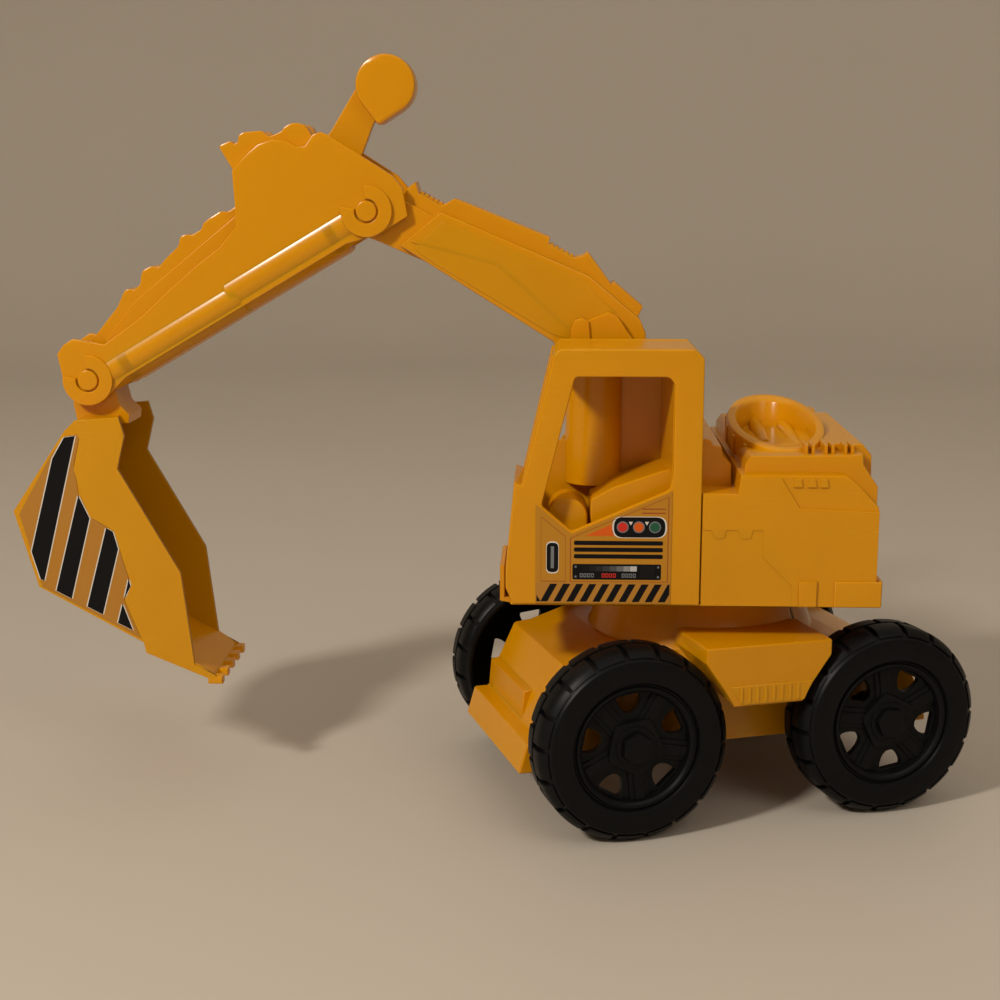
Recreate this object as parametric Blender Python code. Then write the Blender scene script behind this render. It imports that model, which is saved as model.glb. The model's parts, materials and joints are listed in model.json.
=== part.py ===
"""A ride-on-the-floor toy excavator: chassis, slewing house, boom, stick, bucket and grab lever.

Frame: metres, +X forward, +Y to the machine's left (the cab's side), +Z up, origin on the floor
under the middle of the machine's bounding box. The house and arm lie along X; the chassis is
steered CHASSIS_YAW away from them, as the toy was left.
"""
import math

import bmesh
import bpy
from mathutils import Matrix, Vector

MM = 0.001
GAP = 0.3 * MM                    # between pieces that touch
LOOSE = 0.6 * MM                  # on each side of a piece that turns

# Chassis and wheels
CHASSIS_YAW = math.radians(18.0)
WHEEL_RADIUS = 44.0 * MM
WHEEL_WIDTH = 26.0 * MM
RIM_RADIUS = 28.0 * MM            # groove between tyre and rim
HUB_RADIUS = 12.0 * MM
WEB_THICKNESS = 3.5 * MM
WHEELBASE = 122.8 * MM
TRACK = 159.2 * MM                # over the outer faces of the wheels
AXLE_RADIUS = 2.5 * MM
CAP_RADIUS = 7.2 * MM             # hexagon cap, over the corners
WHEEL_WINDOWS = 5
FRONT_WHEEL_TURN = math.radians(83)
REAR_WHEEL_TURN = math.radians(118)
CHASSIS_WIDTH = 90.0 * MM
CHASSIS_WALL = 2.0 * MM
BUMPER_X = 105.0 * MM
BUMPER_Z = 24.5 * MM              # underside of the front bumper
DECK_Z = 76.0 * MM
STEP_TOP_Z = 86.0 * MM
STEP_LENGTH = 60.0 * MM

# Turntable
PEDESTAL_RADIUS = 56.0 * MM
PEDESTAL_TOP_RADIUS = 46.0 * MM
SLEW_BOSS_RADIUS = 13.0 * MM
WASHER_RADIUS = 19.0 * MM
WASHER_THICKNESS = 2.0 * MM

# House
TRAY_Z = 102.0 * MM               # underside of the house
TRAY_THICKNESS = 3.0 * MM
HOUSE_WIDTH = 144.0 * MM
HOUSE_REAR_X = -70.0 * MM
CAB_REAR_X = 7.0 * MM
CAB_LENGTH = 85.0 * MM
CAB_WIDTH = 46.0 * MM
CAB_TOP_Z = 215.0 * MM
CAB_WALL = 2.0 * MM
BAY_TOP_Z = 160.5 * MM
BAY_WALL = 2.0 * MM
TIER_Z = 168.0 * MM               # top of the step on the bay's roof
DRUM_HEIGHT = 15.0 * MM           # round housing of the engine relief
TAB_HEIGHT = 9.0 * MM
SCREW_BOSS_HEIGHT = 14.0 * MM
HEAD_RECESS = 1.5 * MM            # depth that a screw's head sinks into the tray

# Arm
ARM_WIDTH = 33.0 * MM             # over the outer faces of boom and stick
ARM_WALL = 2.0 * MM
BOOM_FOOT = Vector((49.0 * MM, 0.0, 213.0 * MM))
BOOM_LENGTH = 123.2 * MM          # foot pivot to elbow pivot
BOOM_ANGLE = math.radians(28.5)
STICK_LENGTH = 153.1 * MM         # elbow pivot to bucket pivot
STICK_ANGLE = math.radians(-30.6)
TONGUE_WIDTH = 23.6 * MM          # boom end between the stick's cheeks
TONGUE_RADIUS = 12.4 * MM
TUBE_RADIUS = 11.7 * MM           # round lower part of the stick, at the elbow's end
THIN_TUBE_RADIUS = 10.0 * MM      # and at the bucket's end
TUBE_BOTTOM = -12.0 * MM
ELBOW_ROOM = 14.0 * MM            # room round the elbow and bucket pins, between the cheeks
PIN_RADIUS = 4.9 * MM
BRACKET_THICKNESS = 4.0 * MM
KNUCKLE_WIDTH = 23.6 * MM         # bucket's hinge block between the stick's end cheeks

# Lever linkage: a parallelogram, so lever and bucket turn through the same angle
LEVER_PIVOT = Vector((18.0 * MM, 0.0, 20.0 * MM))    # in the stick's frame
CRANK = 10.0 * MM                 # lever pivot to rod pin, and bucket pin to rod pin
LEVER_THICKNESS = 5.0 * MM
LEVER_PIN_RADIUS = 2.0 * MM
LEVER_PIN_HALF = 9.0 * MM
ROD_THICKNESS = 2.6 * MM
ROD_PIN_RADIUS = 1.8 * MM
ROD_EYE_RADIUS = 3.4 * MM
KNOB_RADIUS = 13.7 * MM
KNOB_THICKNESS = 16.0 * MM

# Bucket
BUCKET_WIDTH = 58.0 * MM
BUCKET_WALL = 2.0 * MM
TEETH = 5

SCREW_RADIUS = 1.5 * MM
SCREW_HEAD_RADIUS = 2.8 * MM
SCREW_HEAD_HEIGHT = 1.6 * MM
STICKER_THICKNESS = 0.3 * MM
STICKER_GAP = 0.05 * MM

ROUND_STEPS = 24

# Fits that follow from the sizes above
HALF_ARM = ARM_WIDTH / 2
HALF_TONGUE = TONGUE_WIDTH / 2
SEAM = GAP / 2                    # each half of the arm stops this far from the middle plane
ROD_SIDE = LEVER_THICKNESS / 2 + LOOSE    # the push rod runs along the lever's left face

for old in list(bpy.data.objects):
    bpy.data.objects.remove(old, do_unlink=True)

scene_root = bpy.context.scene.collection
parts = bpy.data.collections.new("toy_excavator")
cutters = bpy.data.collections.new("cutters")
scene_root.children.link(parts)
scene_root.children.link(cutters)


def material(name, colour, roughness, metallic=0.0):
    made = bpy.data.materials.new(name)
    made.use_nodes = True
    shader = made.node_tree.nodes["Principled BSDF"]
    shader.inputs["Base Color"].default_value = (*colour, 1.0)
    shader.inputs["Roughness"].default_value = roughness
    shader.inputs["Metallic"].default_value = metallic
    return made


YELLOW = material("yellow_plastic", (0.84, 0.44, 0.005), 0.42)
BLACK = material("black_plastic", (0.012, 0.012, 0.013), 0.45)
STEEL = material("bright_steel", (0.55, 0.55, 0.56), 0.3, 1.0)
STICKER = material("printed_sticker", (0.85, 0.55, 0.18), 0.35)


def frame(name, parent, location=(0.0, 0.0, 0.0), tilt=0.0, yaw=0.0):
    """An empty that carries a body; tilt lifts its +X end, yaw turns it about +Z."""
    made = bpy.data.objects.new(name, None)
    parts.objects.link(made)
    made.parent = parent
    made.location = location
    made.rotation_euler = (0.0, -tilt, yaw)
    return made


def add_piece(name, mesh, parent, finish, smooth=False):
    made = bpy.data.objects.new(name, mesh)
    parts.objects.link(made)
    made.parent = parent
    mesh.materials.append(finish)
    if smooth:
        mesh.shade_smooth()
        mesh.set_sharp_from_angle(angle=math.radians(35))
    return made


# ---------------------------------------------------------------- shapes, all in a body's own frame

def mm(*pairs):
    """Corner points given in millimetres, as metres."""
    return [(x * MM, z * MM) for x, z in pairs]


def arc(centre, radius, start, end, steps=8):
    """Points on a circle in a side view, from start to end in degrees."""
    angles = [math.radians(start + (end - start) * i / steps) for i in range(steps + 1)]
    return [(centre[0] + radius * math.cos(a), centre[1] + radius * math.sin(a)) for a in angles]


def plate(outline, low, high, along="Y"):
    """A flat outline given a thickness: a side view (x, z) along Y, or a front view (y, z) along X."""
    curve = bpy.data.curves.new("outline", "CURVE")
    curve.dimensions = "2D"
    curve.fill_mode = "BOTH"
    curve.extrude = (high - low) / 2
    spline = curve.splines.new("POLY")
    spline.points.add(len(outline) - 1)
    spline.use_cyclic_u = True
    for point, (across, z) in zip(spline.points, outline):
        point.co = (across, z, 0.0, 1.0)
    holder = bpy.data.objects.new("outline", curve)
    scene_root.objects.link(holder)
    graph = bpy.context.evaluated_depsgraph_get()
    mesh = bpy.data.meshes.new_from_object(holder.evaluated_get(graph))
    bpy.data.objects.remove(holder)
    mesh.transform(Matrix.Rotation(math.radians(90), 4, "X"))
    mesh.transform(Matrix.Translation((0.0, (low + high) / 2, 0.0)))
    if along == "X":
        mesh.transform(Matrix.Rotation(math.radians(90), 4, "Z"))
        mesh.transform(Matrix.Scale(-1.0, 4, (1.0, 0.0, 0.0)))
    build = bmesh.new()
    build.from_mesh(mesh)
    bmesh.ops.remove_doubles(build, verts=build.verts, dist=1e-6)
    bmesh.ops.recalc_face_normals(build, faces=build.faces)
    build.to_mesh(mesh)
    build.free()
    return mesh


def box(low, high):
    build = bmesh.new()
    size = [b - a for a, b in zip(low, high)]
    middle = [(a + b) / 2 for a, b in zip(low, high)]
    place = Matrix.Translation(middle) @ Matrix.Diagonal((*size, 1.0))
    bmesh.ops.create_cube(build, size=1.0, matrix=place)
    mesh = bpy.data.meshes.new("box")
    build.to_mesh(mesh)
    build.free()
    return mesh


def rod(start, end, radius, end_radius=None, steps=ROUND_STEPS):
    """A cylinder or cone between two points."""
    start, end = Vector(start), Vector(end)
    along = end - start
    turn = along.to_track_quat("Z", "Y").to_matrix().to_4x4()
    build = bmesh.new()
    bmesh.ops.create_cone(
        build, cap_ends=True, segments=steps, radius1=radius,
        radius2=radius if end_radius is None else end_radius, depth=along.length,
        matrix=Matrix.Translation((start + end) / 2) @ turn)
    mesh = bpy.data.meshes.new("rod")
    build.to_mesh(mesh)
    build.free()
    return mesh


def cross_rod(x, z, y_low, y_high, radius, steps=ROUND_STEPS):
    return rod((x, y_low, z), (x, y_high, z), radius, steps=steps)


def combine(base, joined=(), cut=()):
    """One mesh: base with the joined meshes added and the cut meshes taken away."""
    holder = bpy.data.objects.new("base", base)
    scene_root.objects.link(holder)
    helpers = []
    for operation, meshes in (("UNION", joined), ("DIFFERENCE", cut)):
        for mesh in meshes:
            helper = bpy.data.objects.new("helper", mesh)
            cutters.objects.link(helper)
            helper.display_type = "WIRE"
            helper.hide_render = True
            helpers.append(helper)
            boolean = holder.modifiers.new(operation.lower(), "BOOLEAN")
            boolean.operation = operation
            boolean.solver = "EXACT"
            boolean.object = helper
    graph = bpy.context.evaluated_depsgraph_get()
    mesh = bpy.data.meshes.new_from_object(holder.evaluated_get(graph))
    for used in (holder, *helpers):
        bpy.data.objects.remove(used)
    return mesh


def mirrored(mesh):
    """The same shape on the other side of the machine's middle plane."""
    build = bmesh.new()
    build.from_mesh(mesh)
    bmesh.ops.scale(build, vec=(1.0, -1.0, 1.0), verts=build.verts)
    bmesh.ops.reverse_faces(build, faces=build.faces)
    other = bpy.data.meshes.new("mirrored")
    build.to_mesh(other)
    build.free()
    return other


def screw(start, direction, length):
    """Head and shank: the head's outer face is at start and the shank runs along direction."""
    start, direction = Vector(start), Vector(direction)
    neck = start + direction * SCREW_HEAD_HEIGHT
    head = rod(start, neck, SCREW_HEAD_RADIUS, steps=16)
    shank = rod(neck - direction * SCREW_HEAD_HEIGHT / 2, neck + direction * length, SCREW_RADIUS, steps=12)
    return combine(head, joined=[shank])


# ---------------------------------------------------------------- frames of the moving bodies

machine = frame("machine", None)
chassis = frame("chassis_frame", machine, yaw=CHASSIS_YAW)
house = frame("house_frame", machine)
boom = frame("boom_frame", machine, BOOM_FOOT, tilt=BOOM_ANGLE)
elbow_at = BOOM_FOOT + BOOM_LENGTH * Vector((math.cos(BOOM_ANGLE), 0.0, math.sin(BOOM_ANGLE)))
stick = frame("stick_frame", machine, elbow_at, tilt=STICK_ANGLE)
bucket_at = elbow_at + STICK_LENGTH * Vector((math.cos(STICK_ANGLE), 0.0, math.sin(STICK_ANGLE)))
bucket = frame("bucket_frame", machine, bucket_at)


# ---------------------------------------------------------------- wheels and axles

OUTER_FACE = TRACK / 2
INNER_FACE = OUTER_FACE - WHEEL_WIDTH

def wheel_profile():
    """Half section of a wheel (radius, distance to the side), from the bore's outer end round."""
    outer, inner = OUTER_FACE, INNER_FACE
    bore = AXLE_RADIUS + GAP
    hub_face = outer - 3.0 * MM
    rim_face = outer - 4.5 * MM
    web_back = rim_face - WEB_THICKNESS
    tyre_inside = WHEEL_RADIUS - 3.0 * MM
    hub_tube = HUB_RADIUS - 4.0 * MM
    return [
        (bore, hub_face), (HUB_RADIUS, hub_face), (HUB_RADIUS + 1.0 * MM, rim_face),
        (RIM_RADIUS - 2.0 * MM, rim_face), (RIM_RADIUS + 1.0 * MM, outer), (WHEEL_RADIUS - 6.0 * MM, outer),
        (WHEEL_RADIUS, outer - 5.0 * MM), (WHEEL_RADIUS, inner), (tyre_inside, inner),
        (tyre_inside, web_back), (hub_tube, web_back), (hub_tube, inner), (bore, inner),
    ]


def turned(profile, x, z, steps):
    """A ring turned about a cross axis at (x, z)."""
    mesh = bpy.data.meshes.new("turned")
    build = bmesh.new()
    points = [build.verts.new((radius, side, 0.0)) for radius, side in profile]
    for a, b in zip(points, points[1:] + points[:1]):
        build.edges.new((a, b))
    bmesh.ops.spin(build, geom=build.verts[:] + build.edges[:], cent=(0.0, 0.0, 0.0),
                   axis=(0.0, 1.0, 0.0), angle=math.tau, steps=steps, use_merge=True)
    bmesh.ops.remove_doubles(build, verts=build.verts, dist=1e-6)
    bmesh.ops.recalc_face_normals(build, faces=build.faces)
    bmesh.ops.translate(build, vec=(x, 0.0, z), verts=build.verts)
    build.to_mesh(mesh)
    build.free()
    return mesh


def wheel(x, turn):
    """A left-hand wheel with its windows, turned by an angle about its axle."""
    body = turned(wheel_profile(), x, WHEEL_RADIUS, 36)
    windows = []
    for i in range(WHEEL_WINDOWS):
        middle = math.degrees(turn) + 360 / WHEEL_WINDOWS * i
        inner = arc((x, WHEEL_RADIUS), HUB_RADIUS + 2.0 * MM, middle + 14, middle - 14, 1)
        outer = arc((x, WHEEL_RADIUS), RIM_RADIUS - 4.0 * MM, middle - 17, middle + 17, 4)
        windows.append(plate(outer + inner, INNER_FACE, OUTER_FACE + WHEEL_WIDTH))
    return combine(body, cut=windows)


def axle_set(end, x, turn):
    axle_end = OUTER_FACE - 3.0 * MM
    axle = cross_rod(x, WHEEL_RADIUS, -axle_end, axle_end, AXLE_RADIUS, steps=24)
    add_piece(f"{end}_axle", axle, chassis, STEEL, smooth=True)
    left = wheel(x, turn)
    cap_inside = OUTER_FACE - 3.0 * MM + GAP
    cap = rod((x, cap_inside, WHEEL_RADIUS), (x, OUTER_FACE + 0.8 * MM, WHEEL_RADIUS), CAP_RADIUS,
              CAP_RADIUS - 0.6 * MM, steps=6)
    for side, wheel_mesh, cap_mesh in (("left", left, cap), ("right", mirrored(left), mirrored(cap))):
        add_piece(f"{end}_{side}_wheel", wheel_mesh, chassis, BLACK, smooth=True)
        add_piece(f"{end}_{side}_hub_cap", cap_mesh, chassis, BLACK)


axle_set("front", WHEELBASE / 2, FRONT_WHEEL_TURN)
axle_set("rear", -WHEELBASE / 2, REAR_WHEEL_TURN)


# ---------------------------------------------------------------- chassis

def chassis_outline(inset):
    """Side view of the chassis moulding, moved in by a wall thickness."""
    front = BUMPER_X - inset
    rear = -BUMPER_X + 6.0 * MM + inset
    roof = DECK_Z - inset
    belly = 31.0 * MM - 4 * inset
    return [
        (front, BUMPER_Z - 4 * inset), (front - 4 * MM, 38 * MM - inset), (front - 11 * MM, 38 * MM - inset),
        (front - 14.5 * MM, 48 * MM - inset), (front - 24.5 * MM, 69.5 * MM - inset),
        (front - 33 * MM, 70.5 * MM - inset), (front - 50 * MM, roof), (rear + 44 * MM, roof),
        (rear + 28 * MM, 70.5 * MM - inset), (rear + 14 * MM, 66 * MM - inset), (rear + 2 * MM, 42 * MM),
        (rear, belly), (front - 25 * MM, belly), (front - 17 * MM, BUMPER_Z - 4 * inset),
    ]


def side_step(y_low, y_high, inset):
    """The block between the wheels, whose ends follow the tyres."""
    half = STEP_LENGTH / 2 - inset
    ahead = [(half - 13.5 * MM, 58.5 * MM - 4 * inset), (half - 8.5 * MM, 67 * MM), (half, 79 * MM),
             (half, STEP_TOP_Z - inset)]
    behind = [(-x, z) for x, z in reversed(ahead)]
    return plate(ahead + behind, y_low, y_high)


half_width = CHASSIS_WIDTH / 2
pedestal_top = TRAY_Z - 3.2 * MM
step_face = OUTER_FACE - 0.6 * MM
chassis_joined = [
    rod((0, 0, DECK_Z - 6 * MM), (0, 0, pedestal_top), PEDESTAL_RADIUS, PEDESTAL_TOP_RADIUS, 40),
    side_step(half_width - CHASSIS_WALL, step_face, 0.0),
    side_step(-step_face, -half_width + CHASSIS_WALL, 0.0),
]
chassis_cut = [
    plate(chassis_outline(CHASSIS_WALL), -half_width + CHASSIS_WALL, half_width - CHASSIS_WALL),
    rod((0, 0, DECK_Z - 8 * MM), (0, 0, pedestal_top - 3 * MM), PEDESTAL_RADIUS - 10 * MM,
        PEDESTAL_TOP_RADIUS - 4 * MM, 40),
    rod((0, 0, pedestal_top - 10 * MM), (0, 0, TRAY_Z), SLEW_BOSS_RADIUS + LOOSE),
    side_step(half_width + CHASSIS_WALL, step_face - CHASSIS_WALL, CHASSIS_WALL),
    side_step(-step_face + CHASSIS_WALL, -half_width - CHASSIS_WALL, CHASSIS_WALL),
]
for axle_x in (WHEELBASE / 2, -WHEELBASE / 2):
    chassis_cut.append(cross_rod(axle_x, WHEEL_RADIUS, -CHASSIS_WIDTH, CHASSIS_WIDTH, AXLE_RADIUS + GAP, 24))
chassis_shell = combine(
    plate(chassis_outline(0.0), -half_width, half_width), chassis_joined, chassis_cut)
add_piece("chassis_shell", chassis_shell, chassis, YELLOW)


# ---------------------------------------------------------------- house: tray, bay, locker, cab

HALF_HOUSE = HOUSE_WIDTH / 2
TRAY_TOP = TRAY_Z + TRAY_THICKNESS
CAB_FRONT_X = CAB_REAR_X + CAB_LENGTH
CAB_INNER_Y = HALF_HOUSE - CAB_WIDTH
BOSS_END = pedestal_top - 3.0 * MM - GAP     # just under the pedestal's top plate
HOUSE_SCREWS = [(HOUSE_REAR_X + 12 * MM, 52 * MM), (HOUSE_REAR_X + 12 * MM, -52 * MM),
                (CAB_REAR_X + 72 * MM, 49 * MM), (CAB_REAR_X + 72 * MM, -49 * MM)]


def side_tab(x_low, x_high, side):
    """A tray tab that stands up against the outside of the house's wall."""
    foot, face, outer = HALF_HOUSE - 2.0 * MM, HALF_HOUSE + GAP, HALF_HOUSE + 1.8 * MM
    low, high = TRAY_Z + 0.5 * MM, TRAY_TOP + TAB_HEIGHT
    outline = [(foot, low), (outer, low), (outer, high), (face, high), (face, TRAY_TOP - 0.5 * MM),
               (foot, TRAY_TOP - 0.5 * MM)]
    mesh = plate(outline, x_low, x_high, along="X")
    return mesh if side > 0 else mirrored(mesh)


def end_tab(x_face, direction, y_low, y_high, low, high):
    """A tab that stands up against the front (direction 1) or rear (-1) of the house."""
    foot, face, outer = (x_face + direction * step for step in (-4.0 * MM, GAP, 2.6 * MM))
    outline = [(foot, low), (outer, low), (outer, high), (face, high), (face, TRAY_TOP - 0.5 * MM),
               (foot, TRAY_TOP - 0.5 * MM)]
    return plate(outline, y_low, y_high)


def tray():
    """Floor of the house, with the slew boss and ring under it and locating tabs round its edge."""
    floor = box((HOUSE_REAR_X, -HALF_HOUSE, TRAY_Z), (CAB_FRONT_X - 2 * MM, HALF_HOUSE, TRAY_TOP))
    ring = rod((0, 0, pedestal_top + GAP), (0, 0, TRAY_Z + 1 * MM), PEDESTAL_TOP_RADIUS - 4 * MM, steps=40)
    boss = rod((0, 0, BOSS_END), (0, 0, TRAY_Z + 1.5 * MM), SLEW_BOSS_RADIUS)
    rear_low, rear_high = TRAY_Z + 0.5 * MM, TRAY_TOP + TAB_HEIGHT
    rear = end_tab(HOUSE_REAR_X, -1, -HALF_HOUSE + 1 * MM, HALF_HOUSE - 1 * MM, rear_low, rear_high)
    front = end_tab(CAB_FRONT_X, 1, CAB_INNER_Y + 2 * MM, HALF_HOUSE - 4 * MM, rear_low, TRAY_Z + 17 * MM)
    joined = [ring, boss, rear, front]
    for side in (1, -1):
        joined.append(side_tab(HOUSE_REAR_X - 2 * MM, HOUSE_REAR_X + 18.5 * MM, side))
        joined.append(side_tab(HOUSE_REAR_X + 26 * MM, HOUSE_REAR_X + 34 * MM, side))
    cut = [rod((0, 0, BOSS_END - 1 * MM), (0, 0, TRAY_Z - 1 * MM), SCREW_RADIUS + GAP, steps=12)]
    for x, y in HOUSE_SCREWS:
        recess_top = (x, y, TRAY_Z + HEAD_RECESS)
        cut.append(rod((x, y, TRAY_Z - 1 * MM), recess_top, SCREW_HEAD_RADIUS + GAP, steps=16))
        cut.append(rod((x, y, TRAY_Z), (x, y, TRAY_TOP + 1 * MM), SCREW_RADIUS + GAP, steps=12))
    return combine(floor, joined, cut)


def screw_boss(x, y):
    return rod((x, y, TRAY_TOP + GAP), (x, y, TRAY_TOP + SCREW_BOSS_HEIGHT), 3.6 * MM, steps=16)


def screw_hole(x, y):
    return rod((x, y, TRAY_Z), (x, y, TRAY_TOP + SCREW_BOSS_HEIGHT - 2 * MM), SCREW_RADIUS + GAP, steps=12)


def bay_outline(inset):
    """Side view of the engine bay."""
    rear, front = HOUSE_REAR_X + inset, CAB_REAR_X - GAP - inset
    floor_z = TRAY_TOP + GAP - 4 * inset
    top = BAY_TOP_Z - inset
    return [(rear, floor_z), (front, floor_z), (front, top - 8 * MM), (front - 15.5 * MM, top - 8 * MM),
            (front - 16.5 * MM, top), (rear + 15 * MM, top), (rear + 9.5 * MM, top - 4 * MM),
            (rear + 0.5 * MM, top - 14 * MM)]


def house_shell():
    bay = plate(bay_outline(0.0), -HALF_HOUSE, HALF_HOUSE)
    tier = engine_tier()
    cut = [plate(bay_outline(BAY_WALL), -HALF_HOUSE + BAY_WALL, HALF_HOUSE - BAY_WALL)]
    hollow = combine(bay, [tier], cut)
    bosses = [screw_boss(x, y) for x, y in HOUSE_SCREWS[:2]]
    walls = [box((x - 1 * MM, min(y, math.copysign(HALF_HOUSE - 1 * MM, y)), TRAY_TOP + GAP),
                 (x + 1 * MM, max(y, math.copysign(HALF_HOUSE - 1 * MM, y)), TRAY_TOP + SCREW_BOSS_HEIGHT))
             for x, y in HOUSE_SCREWS[:2]]
    return combine(hollow, bosses + walls, [screw_hole(x, y) for x, y in HOUSE_SCREWS[:2]])


def engine_tier():
    """The step moulded on the bay's roof, under the engine relief."""
    front = CAB_REAR_X - 18 * MM
    rear = HOUSE_REAR_X + 9 * MM
    base = BAY_TOP_Z - 8 * MM
    outline = [(rear, base), (front, base), (front, BAY_TOP_Z), (front - 3 * MM, TIER_Z),
               (rear + 3 * MM, TIER_Z), (rear, BAY_TOP_Z)]
    return plate(outline, -HALF_HOUSE + 4 * MM, HALF_HOUSE - 4 * MM)


def engine_block():
    """Relief of an engine: a body and a round housing with a dished top."""
    base = TIER_Z + GAP
    body = plate([(-58 * MM, base), (-10 * MM, base), (-10 * MM, base + 8 * MM), (-44 * MM, base + 9 * MM),
                  (-50 * MM, base + 9 * MM), (-58 * MM, base + 3 * MM)], -38 * MM, 38 * MM)
    drum = rod((-26 * MM, 0, base), (-26 * MM, 0, base + DRUM_HEIGHT), 24 * MM, 21 * MM)
    dish = rod((-26 * MM, 0, base + 5 * MM), (-26 * MM, 0, base + DRUM_HEIGHT + 2 * MM), 12 * MM, 19 * MM)
    return combine(body, [drum], [dish])


def locker():
    """Low right-hand locker in front of the bay."""
    front = CAB_FRONT_X - 4 * MM
    outer = -HALF_HOUSE
    inner = -ARM_WIDTH / 2 - BRACKET_THICKNESS - 3.0 * MM
    rear = CAB_REAR_X + GAP

    def outline(inset):
        return [(rear + inset, TRAY_TOP + GAP - 4 * inset), (front - inset, TRAY_TOP + GAP - 4 * inset),
                (front - inset, 124 * MM - inset), (front - 8 * MM - inset, 140 * MM - inset),
                (rear + inset, 146 * MM - inset)]

    shell = combine(plate(outline(0.0), outer, inner), cut=[
        plate(outline(BAY_WALL), outer + BAY_WALL, inner - BAY_WALL)])
    x, y = HOUSE_SCREWS[3]
    web = box((x - 1 * MM, outer + 1 * MM, TRAY_TOP + GAP), (x + 1 * MM, y, TRAY_TOP + SCREW_BOSS_HEIGHT))
    return combine(shell, [screw_boss(x, y), web], [screw_hole(x, y)])


def cab_outline(inset):
    """Side view of the cab, leaning windscreen to the front."""
    rear, front, top = CAB_REAR_X + inset, CAB_FRONT_X - inset, CAB_TOP_Z - inset
    base = TRAY_TOP + GAP - 4 * inset
    return [(rear, base), (front - 2.5 * MM, base), (front, TRAY_Z + 8 * MM), (front, TRAY_Z + 17 * MM),
            (front - 3.5 * MM, TRAY_Z + 54 * MM), (front - 7 * MM, TRAY_Z + 55 * MM),
            (front - 20.5 * MM, top - 3 * MM), (front - 24 * MM, top), (rear + 4 * MM, top),
            (rear, top - 4 * MM)]


def window_outline():
    """The door window, with the sloping sill of the door under it."""
    rear, top = CAB_REAR_X + 12.5 * MM, CAB_TOP_Z - 12.0 * MM
    corner = arc((rear + 3 * MM, top - 3 * MM), 3 * MM, 90, 180, 4)
    return [(CAB_FRONT_X - 30 * MM, top)] + corner + [
        (rear, CAB_TOP_Z - 55 * MM), (rear + 1.5 * MM, CAB_TOP_Z - 61 * MM),
        (CAB_FRONT_X - 29 * MM, CAB_TOP_Z - 79.5 * MM), (CAB_FRONT_X - 15.5 * MM, CAB_TOP_Z - 68.5 * MM)]


def cab_shell():
    inner_y = CAB_INNER_Y
    outside = plate(cab_outline(0.0), inner_y, HALF_HOUSE)
    hollow = plate(cab_outline(CAB_WALL), inner_y + CAB_WALL, HALF_HOUSE - CAB_WALL)
    door_window = plate(window_outline(), HALF_HOUSE - 8 * MM, HALF_HOUSE + 8 * MM)
    far_window = box((CAB_FRONT_X - 29 * MM, inner_y - 8 * MM, CAB_TOP_Z - 32 * MM),
                     (CAB_FRONT_X - 8 * MM, inner_y + 4 * MM, CAB_TOP_Z - 12 * MM))
    screen = box((CAB_FRONT_X - 26 * MM, inner_y + 5 * MM, TRAY_Z + 58 * MM),
                 (CAB_FRONT_X + 5 * MM, HALF_HOUSE - 6 * MM, CAB_TOP_Z - 10 * MM))
    shell = combine(outside, cut=[hollow, door_window, far_window, screen])
    x, y = HOUSE_SCREWS[2]
    web = box((x - 1 * MM, y, TRAY_TOP + GAP),
              (x + 1 * MM, HALF_HOUSE - 1 * MM, TRAY_TOP + SCREW_BOSS_HEIGHT))
    return combine(shell, [screw_boss(x, y), web], [screw_hole(x, y)])


def cab_seat():
    """Seat and back, a block on the tray's floor inside the cab."""
    rear = CAB_REAR_X + CAB_WALL + 3 * MM
    outline = [(rear, TRAY_TOP + GAP), (rear + 34 * MM, TRAY_TOP + GAP), (rear + 37 * MM, TRAY_Z + 36 * MM),
               (rear + 34 * MM, TRAY_Z + 40 * MM), (rear + 12 * MM, TRAY_Z + 38 * MM),
               (rear + 7 * MM, TRAY_Z + 66 * MM), (rear, TRAY_Z + 66 * MM)]
    return plate(outline, CAB_INNER_Y + CAB_WALL + 6 * MM, HALF_HOUSE - CAB_WALL - 6 * MM)


def cab_console():
    """Rounded console in front of the seat."""
    rear = CAB_FRONT_X - 36 * MM
    top = arc((rear + 9 * MM, TRAY_Z + 37 * MM), 9 * MM, 0, 180, 10)
    outline = [(rear, TRAY_Z + 20 * MM), (rear + 18 * MM, TRAY_Z + 20 * MM)] + top
    return plate(outline, CAB_INNER_Y + CAB_WALL + 9 * MM, HALF_HOUSE - CAB_WALL - 9 * MM)


def console_post():
    x = CAB_FRONT_X - 27 * MM
    middle = (CAB_INNER_Y + HALF_HOUSE) / 2
    return box((x - 6 * MM, middle - 8 * MM, TRAY_TOP + GAP), (x + 6 * MM, middle + 8 * MM, TRAY_Z + 21 * MM))


def bracket():
    """Left cheek that carries the boom's foot."""
    inner = ARM_WIDTH / 2 + LOOSE
    foot_x, foot_z = BOOM_FOOT.x, BOOM_FOOT.z
    outline = [(CAB_REAR_X + 4 * MM, TRAY_TOP + GAP), (CAB_FRONT_X - 12 * MM, TRAY_TOP + GAP),
               (CAB_FRONT_X - 16 * MM, TRAY_Z + 50 * MM), (foot_x + 14.5 * MM, foot_z - 14 * MM),
               (foot_x + 14.5 * MM, foot_z + 8 * MM), (foot_x + 11 * MM, foot_z + 9.5 * MM)]
    outline += arc((foot_x, foot_z), 13.4 * MM, 45, 120, 6)
    outline += [(foot_x - 10 * MM, foot_z + 5.5 * MM), (foot_x - 20 * MM, foot_z - 2 * MM),
                (foot_x - 24 * MM, foot_z - 16 * MM)]
    boss = cross_rod(foot_x, foot_z, inner + 1 * MM, inner + BRACKET_THICKNESS + 1.5 * MM, 8 * MM)
    pin_hole = cross_rod(foot_x, foot_z, 0.0, 2 * ARM_WIDTH, PIN_RADIUS + GAP)
    return combine(plate(outline, inner, inner + BRACKET_THICKNESS), [boss], [pin_hole])


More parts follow.
